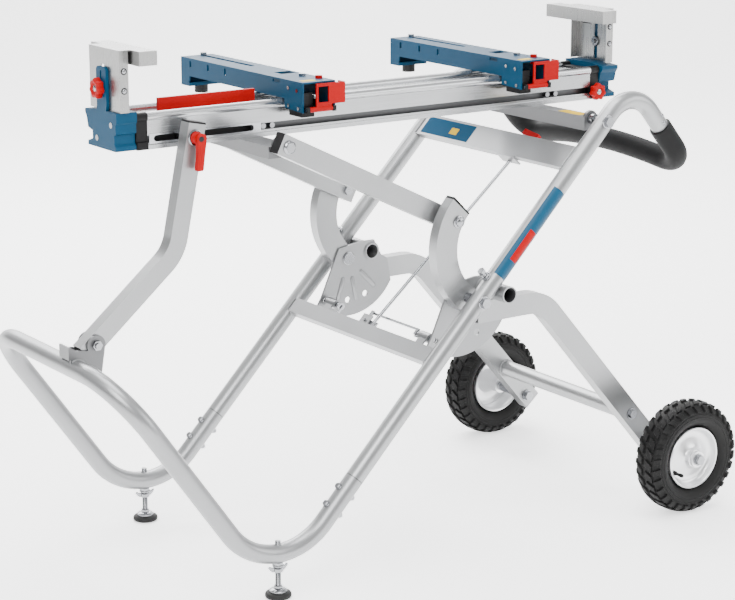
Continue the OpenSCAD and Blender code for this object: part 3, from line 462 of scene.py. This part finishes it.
def wheel(side, name):
    """Tyre with block tread, pressed rim and valve; side is -1 at the front, 1 at the rear."""
    body = "wheel_" + name
    low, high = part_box("tyre_" + name)
    centre = Vector((AXLE.x, (low.y + high.y) / 2, AXLE.z))
    out = Y * side
    radius = (high.z - low.z) / 2
    half = (high.y - low.y) / 2 - 0.0005
    mid = radius - 0.0255
    u, w = basis(out)

    def skin(a, lift):
        """(radius, height) on the carcass at angle a from the tread's middle."""
        t = math.radians(a)
        c, s = math.cos(t), math.sin(t)
        width = half - max(0, abs(a) - 100) * 0.00015
        rr = mid + math.copysign(abs(c) ** 0.75, c) * (0.0215 if c > 0 else 0.0245)
        hh = math.copysign(abs(s) ** 0.72, s) * width
        return rr + lift * c, hh + lift * s

    sh = Shell()
    outer = [skin(a, 0) for a in range(-160, 161, 8)]
    inner = [(r - 0.004 if abs(h) < 0.02 else r, h * 0.7) for r, h in reversed(outer)]
    sh.ring(centre, out, outer + inner, 96)
    for a in (-92, -84, 84, 92):
        r, h = skin(a, 0)
        top = h + math.copysign(0.0008, h)
        sh.ring(centre, out, [(r - 0.0009, h), (r, top), (r + 0.0009, h)], 96)
    count = 30

    def lug(a0, a1, phase, share, skew, lift, steps=3):
        """A ring of tread blocks between two angles from the tread's middle."""
        for k in range(count):
            verts, faces = [], []
            base = 2 * math.pi * (k + phase) / count
            for level, (rise, grow) in enumerate(((-0.001, 1.0), (lift * 0.8, 0.94), (lift, 0.84))):
                for i in range(steps + 1):
                    f = i / steps
                    fa = 0.5 + (f - 0.5) * grow
                    a = a0 + (a1 - a0) * fa
                    r, h = skin(a, rise)
                    for e in (-0.5, 0.5):
                        t = base + (e * share * grow + skew * (f - 0.5)) * 2 * math.pi / count
                        verts.append(centre + out * h + (u * math.cos(t) + w * math.sin(t)) * r)
            m = 2 * (steps + 1)
            for level in range(2):
                o = level * m
                for i in range(steps):
                    p, q = o + 2 * i, o + m + 2 * i
                    faces += [(p, p + 2, q + 2, q), (p + 1, q + 1, q + 3, p + 3)]
                faces.append((o, o + m, o + m + 1, o + 1))
                faces.append((o + m - 2, o + m - 1, o + 2 * m - 1, o + 2 * m - 2))
            o = 2 * m
            for i in range(steps):
                faces.append((o + 2 * i, o + 2 * i + 2, o + 2 * i + 3, o + 2 * i + 1))
            sh.add(verts, faces)

    lug(-30, -3, 0.0, 0.62, 0.45, 0.004)
    lug(3, 30, 0.5, 0.62, 0.45, 0.004)
    lug(36, 74, 0.0, 0.52, -0.2, 0.0042)
    lug(-74, -36, 0.5, 0.52, -0.2, 0.0042)
    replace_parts(sh.make("tyre_%s_tread" % name, "tyre", body, "tyre", 30), "tyre_" + name)

    # rim: lip over the bead, barrel and one smooth dish down to the hub
    rim_low, rim_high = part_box("rim_" + name)
    hub = (rim_high.y - rim_low.y) / 2
    sh = Shell()
    dish = [(0.0568, 0.0205), (0.0572, 0.0222), (0.0560, 0.0236), (0.0540, 0.0230),
            (0.0525, 0.0205), (0.0515, 0.0150), (0.0490, 0.0105), (0.0440, 0.0085),
            (0.0350, 0.0100), (0.0250, 0.0135), (0.0185, 0.0160), (0.0170, 0.0180),
            (0.0165, hub * 0.80), (0.0150, hub * 0.82), (0.0150, hub), (0.0065, hub),
            (0.0065, hub - 0.010)]
    back = [(0.0065, -hub), (0.0150, -hub), (0.0155, -0.004), (0.0250, 0.0105),
            (0.0440, 0.0060), (0.0495, 0.0080), (0.0500, -0.0180), (0.0540, -0.0230),
            (0.0560, -0.0236), (0.0568, -0.0205), (0.0530, -0.0190), (0.0530, 0.0190)]
    sh.ring(centre, out, dish + back, 96)
    rim = sh.make("rim_%s_dish" % name, "rim", body, "rim_steel", 40)
    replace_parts(rim, "rim_" + name)
    # valve stem
    sh = Shell()
    stem = centre + out * 0.0095 + (u * math.cos(2.2) + w * math.sin(2.2)) * 0.043
    sh.turn(stem, out, [(0.0042, 0), (0.0040, 0.004), (0.0028, 0.006), (0.0028, 0.014),
                        (0.0034, 0.0145), (0.0034, 0.020), (0.0026, 0.022)], 16)
    sh.make("valve_" + name, "black", body, "tyre")


wheel(-1, "front")
wheel(1, "rear")


# --- Edges and second colours of the CAD nodes ------------------------------------------

for width, names in (
    (0.0022, ["strut"] + both("leg_tube") + both("curved_arm") + both("lift_bar")),
    (0.0014, ["lower_crossbar", "beam_end_caps"] + ends("end_bracket") + ends("rail")),
    (0.0009, ["upper_crossbar", "beam_channels", "strut_bracket", "strut_cap", "tube_plugs",
              "stop_strip"] + ends("tool_mount") + ends("mount_frame") + ends("mount_latch")),
    (0.0006, ["frame_pivot_bolts", "carriage_fasteners", "splice_bolts", "stop_adjusters",
              "axles", "beam_bolts", "release_crank", "slot_plate"]
     + both("gusset") + both("lock_pin") + ends("work_support")),
    (0.0016, ["release_rod"]),
):
    for name in names:
        bevel(NODES[name], width, 3 if width > 0.0015 else 2)


def paint(node, look, test):
    """Gives the faces of a CAD node whose middle passes test another material."""
    o = NODES[node]
    o.data.materials.append(MAT[look])
    index = len(o.data.materials) - 1
    for p in o.data.polygons:
        if test(o.matrix_world @ p.center):
            p.material_index = index


def beside(p, centre, axis=Y):
    """Distance of p from a line through centre."""
    d = p - centre
    return (d - axis * d.dot(axis)).length


for name in ends("tool_mount"):
    low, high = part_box(name)
    # saw bolts above the top face, rivets in the left wall, the bolts' nuts just under the top
    paint(name, "zinc", lambda p: p.z > MOUNT_TOP_Z + 0.00005 or p.x < low.x + 0.0010
          or (0.8119 < p.z < 0.8194 and low.x + 0.02 < p.x < high.x - 0.01
              and (p.y > 0.26 or -0.05 < p.y < -0.03)))
    # the foot under it
    paint(name, "rubber", lambda p: p.z < 0.7719)
for name, out in (("left", -1), ("right", 1)):
    # the two screws in the end bracket's face
    low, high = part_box("end_bracket_" + name)
    face = low.x if out < 0 else high.x
    screws = [Vector((0, 0.032 * out, 0.772)), Vector((0, -0.016 * out, 0.746))]
    paint("end_bracket_" + name, "zinc", lambda p: abs(p.x - face) < 0.0045
          and min(beside(p, spot, X) for spot in screws) < 0.0049)
    # the slider inside the work support, and the pin of the mount's latch
    low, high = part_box("work_support_" + name)
    plate_x = low.x if out < 0 else high.x
    paint("work_support_" + name, "black", lambda p: 0.0021 < (plate_x - p.x) * out < 0.0198
          and 0.0159 < p.y * out < 0.0381 and 0.8579 < p.z < 0.8896)
    low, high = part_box("mount_frame_" + name)
    paint("mount_latch_" + name, "zinc",
          lambda p: p.z < 0.7796 and (p.x < low.x + 0.0072 or p.x > high.x - 0.0072))
LIFT_SLOPE = math.radians(-26.0)
ALONG_LIFT = Vector((math.cos(LIFT_SLOPE), 0, math.sin(LIFT_SLOPE)))
for name in both("lift_bar"):
    paint(name, "zinc", lambda p: abs(p.y) < 0.1399)
    paint(name, "black", lambda p: abs(p.y) > 0.1399
          and not -0.0151 <= (p - LIFT_PIVOT).dot(ALONG_LIFT) <= 0.3700)
groove = JOINT["slot_nut_slide"].z
paint("beam_profile", "groove", lambda p: 0.0334 < abs(p.y) < 0.0421 and abs(p.z - groove) < 0.0087
      and abs(p.x - MIDDLE) < BEAM_HIGH.x - MIDDLE - 0.001)
paint("strut_bracket", "zinc", lambda p: p.y < -0.0919 or p.y > -0.0590)
paint("release_rod", "red", lambda p: (p - PIVOT).dot(ALONG) > 0.316)


# --- Fasteners, welds and labels ----------------------------------------------------------

STOP_S = 0.0405             # stop screw and stub, up the main tube from the pivot
STUB_N = -0.0316            # stub's middle, square to the main tube
STUB_END_Y = 0.2385
TUBE_FACE_Y = 0.2402        # outer flat of a main tube, under the pivot bolts
GUSSET_FACE_Y = 0.1684
ARM_FACE_Y = 0.1941         # outer face of a curved arm
LIFT_FACE_Y = 0.1641        # outer face of a lift bar
STRUT_FACE_Y = -0.0885      # front face of the strut
BEAD = 0.0018               # usual radius of a weld bead
RIPPLE = 0.10
TUBE_COLLAR_Z = 0.0545      # underside nut of a levelling foot
WING_Z = 0.0440


def at(x, y, z):
    """Point measured in millimetres from the middle of the beam, on the floor."""
    return Vector((MIDDLE + x * MM, y * MM, z * MM))


def bead(points, step=0.0016):
    """Points along a path, close enough together for a weld bead's ripples."""
    out = []
    for p, q in zip(points, points[1:]):
        n = max(1, int((q - p).length / step))
        out += [p.lerp(q, i / n) for i in range(n)]
    return out + [points[-1]]


def circle(centre, axis, radius, a0=0, a1=360, n=24, hint=Z):
    u, w = basis(axis, hint)
    return [centre + (u * math.cos(t) + w * math.sin(t)) * radius for t in angles(a0, a1, n)]


for side, where in ((-1, "front"), (1, "rear")):
    out = Y * side
    sh = Shell()
    for s0, s1, n, y in (
            (280, 322, 13.4, 214.6), (-138, -113, 12.9, 214.0), (-138, -113, -7.9, 210.0)):
        line = [on_main(s * MM, side * y * MM, n * MM) for s in (s0, s1)]
        sh.sweep(bead(line), BEAD, 8, RIPPLE)
    for s in (-140.3, -110.7):
        line = [on_main(s * MM, side * 208.4 * MM, n * MM) for n in (-6, 10)]
        sh.sweep(bead(line), 0.0016, 8, RIPPLE)
    sh.make("frame_welds_" + where, "weld", "main_frame", "frame_paint")

    # welds of the carriage: cross tube, stub and the edge of the gusset
    sh = Shell()
    sh.sweep(bead(circle(at(449, side * 171.2, 169), Y, 0.0156, n=32)), 0.0017, 8, RIPPLE)
    stub = on_main(STOP_S, 0, STUB_N)
    for y, radius in ((0.1726, 0.0017), (0.1676, 0.0015)):
        sh.sweep(bead(circle(stub + out * y, Y, 0.0158, n=32)), radius, 8, RIPPLE)
    sh.make("carriage_welds_" + where, "weld", "wheel_carriage", "frame_paint")

    # painted shade: a dark sleeve and a dark disc inside the stubs' open ends stand in for the
    # shade inside the tubes
    sh = Shell()
    sh.ring(stub + out * STUB_END_Y, out, [(0.0090, -0.030), (0.0128, -0.030), (0.0128, 0.0060),
            (0.0122, 0.0064), (0.0112, 0.0058), (0.0102, 0.0030), (0.0090, -0.0060)], 40)
    sh.turn(stub + out * (STUB_END_Y - 0.029), out, [(0.0092, 0), (0.0092, 0.002)], 32)
    sh.make("stub_painted_shade_" + where, "dark", "wheel_carriage", "black_plastic")

    # dark seam where the foot loop meets the main tube
    sh = Shell()
    seam = on_main(-369.9 * MM, side * SIDE_Y, 0)
    sh.ring(seam, ALONG, [(0.0157, -0.0007), (0.01605, -0.0005), (0.01605, 0.0005),
                          (0.0157, 0.0007)], 48)
    sh.make("splice_seam_" + where, "dark", "main_frame", "frame_paint")

    # threads of the stop screw, above its lower nut
    sh = Shell()
    sh.thread(on_main(STOP_S, side * SIDE_Y, 0.0214), ABOVE, 0.00425, 0.0066)
    sh.turn(on_main(STOP_S, side * SIDE_Y, TUBE_R), ABOVE,
            [(0.0086, 0), (0.0086, 0.0010), (0.0080, 0.0014)], 32)
    sh.make("stop_thread_" + where, "zinc", "main_frame", "zinc")

    # pressed ribs of the gusset
    sh = Shell()
    for a in (-108, -78, -46):
        c, t = math.cos(math.radians(a)), math.sin(math.radians(a))
        u, w = Vector((c, 0, t)), Vector((-t, 0, c))
        if u.cross(w).y * side > 0:
            w = -w
        outline = arc(0.080, 0, 0.0042, -90, 90, 8) + arc(0.040, 0, 0.0042, 90, 270, 8)
        sh.slab(outline, Vector((PIVOT.x, side * GUSSET_FACE_Y, PIVOT.z)), u, w, 0.0017, 0.0011)
    sh.make("gusset_ribs_" + where, "frame_sheet", "wheel_carriage", "frame_paint", 50)

    # domed and hexagon heads over the plain CAD ones
    sh = Shell()
    sh.turn(Vector((LIFT_PIVOT.x, side * LIFT_FACE_Y, LIFT_PIVOT.z)), out,
            [(0.0115, 0), (0.0115, 0.0014), (0.0104, 0.0018), (0.0094, 0.0034),
             (0.0070, 0.0046), (0.0034, 0.0053), (0.0, 0.0054)], 36)
    sh.make("lift_bolt_" + where, "zinc", "beam", "zinc", 50)
    sh = Shell()
    arm_end = at(50, 0, 576)
    sh.turn(Vector((arm_end.x, side * ARM_FACE_Y, arm_end.z)), out,
            [(0.0112, 0), (0.0112, 0.0014), (0.0106, 0.0018)], 36)
    sh.hexagon(Vector((arm_end.x, side * (ARM_FACE_Y + 0.0016), arm_end.z)), out,
               0.0172, 0.0046, X, 0.3)
    sh.turn(Vector((AXLE.x, side * 0.1619, AXLE.z)), out, [(0.0118, 0.0082), (0.0118, 0.0096)], 36)
    sh.make("arm_bolt_" + where, "zinc", "wheel_carriage", "zinc", 50)
    sh = Shell()
    sh.turn(Vector((PIVOT.x, side * 0.1678, PIVOT.z)), -out,
            [(0.0125, 0), (0.0125, 0.0012), (0.0118, 0.0016)], 36)
    sh.hexagon(Vector((PIVOT.x, side * 0.1664, PIVOT.z)), -out, 0.0186, 0.0016, X, 0.2)
    for pivot in (PIVOT, BEAM_PIVOT):
        sh.turn(Vector((pivot.x, side * TUBE_FACE_Y, pivot.z)), out,
                [(0.0122, 0), (0.0122, 0.0012), (0.0114, 0.0019)], 36)
    sh.make("pivot_washers_" + where, "zinc", "main_frame", "zinc", 50)

    # levelling foot: ribbed pad, screw with its wing nut, and the nut under the foot loop's tube
    body = "levelling_foot_" + where
    foot_low, foot_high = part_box("foot_" + where)
    axis = Vector(((foot_low.x + foot_high.x) / 2, side * SIDE_Y, 0))
    sh = Shell()
    sh.turn(axis, Z, [(0.0190, 0.0), (0.0212, 0.0010), (0.0220, 0.0026), (0.0220, 0.0060),
                      (0.0210, 0.0078), (0.0170, 0.0094), (0.0150, 0.0100), (0.0150, 0.0112),
                      (0.0135, 0.0118)], 48)
    for k in range(3):
        sh.ring(axis + Z * (0.0030 + k * 0.0014), Z,
                [(0.0216, -0.0003), (0.02205, 0.0), (0.0216, 0.0003)], 48)
    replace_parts(sh.make("foot_pad_" + where, "rubber", body, "rubber", 40), "foot_" + where)
    sh = Shell()
    sh.turn(axis, Z, [(0.0150, 0.0100), (0.0152, 0.0125), (0.0120, 0.0150), (0.0082, 0.0158)], 40)
    sh.hexagon(axis + Z * 0.0155, Z, 0.0160, 0.0050, X)
    sh.thread(axis + Z * 0.0200, Z, 0.0050, foot_high.z - 0.0202, 0.0015, 0.0007)
    sh.turn(axis + Z * WING_Z, Z,
            [(0.0080, 0), (0.0088, 0.0012), (0.0082, 0.0070), (0.0070, 0.0095)], 28)
    wing = [(0.0060, 0.0010), (0.0110, 0.0010), (0.0158, 0.0048), (0.0188, 0.0085),
            (0.0182, 0.0112), (0.0160, 0.0118), (0.0125, 0.0096), (0.0085, 0.0082),
            (0.0060, 0.0078)]
    for u in (X, -X):
        sh.slab(wing, axis + Z * WING_Z - u.cross(Z) * 0.0017, u, Z, 0.0034, 0.0007)
    sh.make("foot_screw_" + where, "zinc", body, "zinc", 40)
    sh = Shell()
    sh.turn(axis + Z * TUBE_COLLAR_Z, Z, [(0.0100, 0), (0.0100, 0.0014), (0.0094, 0.0018)], 32)
    sh.hexagon(axis + Z * (TUBE_COLLAR_Z + 0.0013), Z, 0.0185, 0.0060, X)
    sh.make("foot_nut_" + where, "zinc", "main_frame", "zinc")


# screws of the work supports
for name, out in (("left", -1), ("right", 1)):
    low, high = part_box("work_support_" + name)
    plate_x = low.x if out < 0 else high.x
    screws, rings = Shell(), Shell()
    for face in (-1, 1):
        y = (0.055 if face * out > 0 else 0.045) * face
        for z in (0.828, 0.859):
            spot = Vector((plate_x - out * 0.008, y, z))
            rings.turn(spot - Y * face * 0.0004, Y * face,
                       [(0.0054, 0), (0.0054, 0.0009), (0.0048, 0.0013)], 28)
            screws.turn(spot + Y * face * 0.0006, Y * face,
                        [(0.0040, 0), (0.0040, 0.0008), (0.0031, 0.0018), (0.0016, 0.0023),
                         (0.0, 0.0024)], 24)
    rings.make("support_rings_" + name, "dark", "support_" + name, "zinc")
    screws.make("support_screws_" + name, "zinc", "support_" + name, "zinc", 50)

# dark floor of the slot in the front plate
slot_low, slot_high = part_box("slot_plate")
sh = Shell()
sh.block((slot_low.x + 0.006, -0.0341, groove - 0.0078),
         (slot_high.x - 0.012, -0.0337, groove + 0.0078))
sh.make("slot_shadow", "dark", "beam", "extrusion")

# clamp lever: round boss, waisted handle and the bolt behind it
lever_low, lever_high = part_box("clamp_lever")
hub = Vector((LEVER.x, 0, LEVER.z))
sh = Shell()
sh.turn(hub - Y * 0.0902, -Y,
        [(0.0100, 0), (0.0100, 0.0020), (0.0088, 0.0032), (0.0085, 0.0100)], 40)
outline = [(q * MM, h * MM) for q, h in arc(2.6, 0, 8.2, -8, 172, 14) + [
    (-5.4, -10), (-5.0, -22), (-6.0, -36), (-7.9, -48), (-7.4, -50.6), (-5.6, -51.8),
    (2.0, -51.6), (4.2, -50.2), (5.2, -44), (6.6, -32), (8.2, -20), (10.0, -9)]]
sh.slab(outline, Vector((hub.x, lever_low.y + 0.0128, hub.z)), X, Z, 0.0126, 0.0022)
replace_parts(sh.make("lever_handle", "red", "clamp", "red_plastic", 40), "clamp_lever")
sh = Shell()
sh.turn(hub + Y * lever_high.y, -Y, [(0.0040, 0), (0.0040, 0.0262)], 28)
sh.make("lever_bolt", "zinc", "clamp", "zinc", 40)
sh = Shell()
sh.turn(hub + Y * (lever_low.y + 0.0006), -Y,
        [(0.0046, 0), (0.0046, 0.0004), (0.0036, 0.0006), (0.0, 0.0006)], 28)
sh.make("lever_plug", "dark", "clamp", "red_plastic", 40)


def knob(node, body, spot, out, radius, height, inner):
    """Star knob with seven rounded lobes and a dished face, on its plain stud."""
    def lobes(t, q, h):
        return q * (1 - 0.20 * (q / radius) ** 2 * (0.5 - 0.5 * math.cos(7 * t)) ** 0.85)

    profile = ((0.46, 0.0), (0.86, 0.02), (0.97, 0.08), (1.0, 0.18), (1.0, 0.74), (0.97, 0.86),
               (0.90, 0.95), (0.78, 1.0), (0.56, 0.98), (0.50, 0.93), (0.46, 0.84),
               (0.30, 0.82), (0.0, 0.82))
    sh = Shell()
    sh.turn(spot, out, [(radius * k, height * h) for k, h in profile], 112, wave=lobes)
    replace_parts(sh.make(node + "_star", "red", body, "red_plastic", 38), node)
    sh = Shell()
    sh.turn(spot - out * inner, out, [(0.0036, 0), (0.0040, 0.0008), (0.0040, inner + 0.0015)], 28)
    if node.startswith("height"):
        sh.turn(spot - out * 0.0114, out,
                [(0.0086, 0), (0.0090, 0.0005), (0.0090, 0.0029), (0.0086, 0.0034)], 32)
    sh.turn(spot + out * height * 0.81, out,
            [(0.0050, 0), (0.0050, 0.0004), (0.0044, 0.0008), (0.0, 0.0008)], 28)
    sh.make(node + "_stud", "zinc", body, "zinc", 40)


for name, out in (("left", -1), ("right", 1)):
    low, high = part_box("height_knob_" + name)
    face = (low.x if out < 0 else high.x) - out * 0.0120
    spot = Vector((face, 0, JOINT["support_knob_%s_turn" % name].z))
    knob("height_knob_" + name, "support_knob_" + name, spot, X * out, 0.0170, 0.0120, 0.0144)
    low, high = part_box("rail_knob_" + name)
    side = -out
    face = (high.y if side > 0 else low.y) - side * 0.0130
    middle = JOINT["clamp_knob_%s_turn" % name]
    spot = Vector((middle.x, face, middle.z))
    knob("rail_knob_" + name, "clamp_knob_" + name, spot, Y * side, 0.0160, 0.0130, 0.0180)

# welds of the strut bracket on the foot loop, then the grip's end rings and screws
sh = Shell()
for y in (-0.0923, -0.0587):
    round_bar = [at(-621.1, 0, 401.9) + Vector((math.cos(t), 0, math.sin(t))) * 0.0165 + Y * y
                 for t in angles(-48, 122, 34)]
    sh.sweep(bead(round_bar), 0.0016, 8, RIPPLE)
sh.make("bracket_welds", "weld", "main_frame", "frame_paint_dark")
DROP = math.radians(50)
DOWN = Vector((math.cos(DROP), 0, -math.sin(DROP)))     # along the grip, towards its low end
OUT_OF = Vector((math.sin(DROP), 0, math.cos(DROP)))
for side, where in ((-1, "front"), (1, "rear")):
    start = on_main(0.4103, side * SIDE_Y, -0.060) + OUT_OF * 0.060
    sh = Shell()
    sh.ring(start + DOWN * 0.0425, DOWN, [(0.0163, -0.0014), (0.0186, -0.0012), (0.0197, 0.0002),
            (0.0199, 0.0024), (0.0163, 0.0024)], 48)
    sh.make("grip_ring_" + where, "black", "main_frame", "foam")
    sh = Shell()
    for down, lean in ((0.020, 0.62), (0.031, 0.10)):
        face = (OUT_OF * lean + Y * side).normalized()
        sh.turn(start + DOWN * down + face * 0.0158, face,
                [(0.0042, 0), (0.0040, 0.0010), (0.0026, 0.0020), (0.0, 0.0023)], 24)
    sh.make("grip_screw_" + where, "zinc", "main_frame", "zinc", 50)

# washer under the clamp lever
sh = Shell()
sh.turn(hub + Y * STRUT_FACE_Y, -Y,
        [(0.0135, 0), (0.0135, 0.0012), (0.0126, 0.0018), (0.0112, 0.0018), (0.0105, 0.0010)], 40)
sh.make("lever_washer", "zinc", "clamp", "zinc", 40)


# --- Labels: plain panels with nothing on them ------------------------------------------

def wrap(name, look, s0, s1, a0, a1, lift, side=-1):
    """Thin label round part of a main tube; angles run from straight out to the side, upwards."""
    verts, faces = [], []
    n = 14
    for layer in (0.0, 0.00012):
        for s in (s0, s1):
            for a in angles(a0, a1, n):
                r = TUBE_R + lift + layer
                verts.append(on_main(s * MM, side * (SIDE_Y + r * math.cos(a)), r * math.sin(a)))
    m = n + 1
    for i in range(n):
        in0, in1, out0, out1 = (row * m + i for row in range(4))
        faces += [(out0, out0 + 1, out1 + 1, out1), (in0, in1, in1 + 1, in0 + 1),
                  (in0, in0 + 1, out0 + 1, out0), (in1, out1, out1 + 1, in1 + 1)]
    faces += [(0, 2 * m, 3 * m, m), (n, m + n, 3 * m + n, 2 * m + n)]
    piece(name, verts, faces, look, "main_frame", 60)


wrap("label_tube_blue", "label", 53, 239, -62, 62, 0.00005)
wrap("label_tube_band", "label_red", 88, 152, -26, 30, 0.0002)


def plate(name, look, corner, u, w, size, body, slot, lift=0.0001, thick=0.00015):
    """Flat label with rounded corners, just above a face; corner, u and w place it."""
    sh = Shell()
    a = u.cross(w).normalized()
    r = 0.0015
    x1, y1 = size
    outline = (arc(r, r, r, 180, 270, 4) + arc(x1 - r, r, r, 270, 360, 4)
               + arc(x1 - r, y1 - r, r, 0, 90, 4) + arc(r, y1 - r, r, 90, 180, 4))
    sh.slab(outline, corner + a * lift, u, w, thick)
    sh.make(name, look, body, slot)


plate("label_bar_blue", "label_matt", on_main(0.283, 0.060, 0.013), ALONG, Y, (0.036, 0.142),
      "main_frame", "frame_paint")
plate("label_bar_yellow", "yellow", on_main(0.292, 0.100, 0.01325), ALONG, Y, (0.014, 0.022),
      "main_frame", "frame_paint")
plate("label_channel", "yellow", Vector((BEAM_PIVOT.x - 0.011, -0.176, BEAM_LOW.z)), X, Y,
      (0.022, 0.058), "beam", "frame_paint_dark")
for name in ends("tool_mount"):
    low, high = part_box(name)
    plate("label_" + name, "yellow", Vector((low.x + 0.010, -0.094, MOUNT_TOP_Z)), X, Y,
          (0.026, 0.014), "mount_" + name.split("_")[-1], "blue_paint")


# --- Camera, light and floor ------------------------------------------------------------

def area_light(name, place, target, size, power):
    data = bpy.data.lights.new(name, "AREA")
    data.shape = "RECTANGLE"
    data.size, data.size_y = size
    data.energy = power
    o = bpy.data.objects.new(name, data)
    o.location = place
    o.rotation_euler = (Vector(target) - Vector(place)).to_track_quat("-Z", "Y").to_euler()
    bpy.context.scene.collection.objects.link(o)
    o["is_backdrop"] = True


area_light("key_light", (-2.6, -2.4, 3.2), (0, 0, 0.45), (2.4, 2.4), 170)
area_light("fill_light", (2.8, -2.6, 1.8), (0, 0, 0.45), (2.6, 2.0), 75)
area_light("back_light", (0.6, 3.0, 2.6), (0, 0, 0.5), (3.0, 1.6), 110)
area_light("top_light", (-0.2, 0.0, 3.4), (0, 0, 0.5), (3.0, 1.8), 125)
area_light("backdrop_light", (1.2, 2.6, 3.6), (2.6, 4.0, 0.0), (3.0, 3.0), 210)

world = bpy.data.worlds.new("studio")
bpy.context.scene.world = world
world.use_nodes = True
sky, tree = world.node_tree.nodes["Background"], world.node_tree
tilt = tree.nodes.new("ShaderNodeSeparateXYZ")
tree.links.new(tree.nodes.new("ShaderNodeTexCoord").outputs["Generated"], tilt.inputs[0])
shade = tree.nodes.new("ShaderNodeValToRGB")
for e, height, value in zip(shade.color_ramp.elements, (0.0, 1.0), (0.80, 1.0)):
    e.position = height
    e.color = (value, value, value, 1)
# a darker band low on the sky
for height, value in ((0.04, 0.42), (0.22, 0.30), (0.45, 0.85), (0.7, 1.0)):
    e = shade.color_ramp.elements.new(height)
    e.color = (value, value, value, 1)
tree.links.new(tilt.outputs["Z"], shade.inputs["Fac"])
tree.links.new(shade.outputs["Color"], sky.inputs["Color"])
sky.inputs["Strength"].default_value = 1.25

# floor that curves up behind the stand into a backdrop
VIEW = Vector((0.5519, 0.7972, -0.2446))            # the way the camera looks
COVE_START, COVE_R, REACH = 5.0, 2.2, 9.0
run = [(-REACH, 0.0), (COVE_START, 0.0)]
run += [(COVE_START + COVE_R * math.sin(t), COVE_R - COVE_R * math.cos(t))
        for t in angles(6, 90, 14)]
run += [(COVE_START + COVE_R, REACH)]
view = Vector((VIEW.x, VIEW.y, 0)).normalized()
across = Vector((view.y, -view.x, 0))
floor_mesh = bpy.data.meshes.new("floor")
floor_mesh.from_pydata(
    [tuple(view * d + across * side + Z * h) for d, h in run for side in (-REACH, REACH)], [],
    [(2 * i, 2 * i + 2, 2 * i + 3, 2 * i + 1) for i in range(len(run) - 1)])
for p in floor_mesh.polygons:
    p.use_smooth = True
floor_mesh.materials.append(MAT["floor"])
floor = bpy.data.objects.new("floor", floor_mesh)
floor.location.z = CAD_LOW.z - 0.0003
bpy.context.scene.collection.objects.link(floor)
floor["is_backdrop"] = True

# camera fitted to the photograph
camera_data = bpy.data.cameras.new("camera")
camera_data.sensor_width = 36
camera_data.lens = 104.7
camera = bpy.data.objects.new("camera", camera_data)
camera.location = (-2.0685, -3.006, 1.330)
camera.rotation_euler = VIEW.to_track_quat("-Z", "Y").to_euler()
bpy.context.scene.collection.objects.link(camera)
bpy.context.scene.camera = camera
camera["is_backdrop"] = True


# --- Sizes of the shown parts --------------------------------------------------------------

bpy.context.view_layer.update()
low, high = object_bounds()
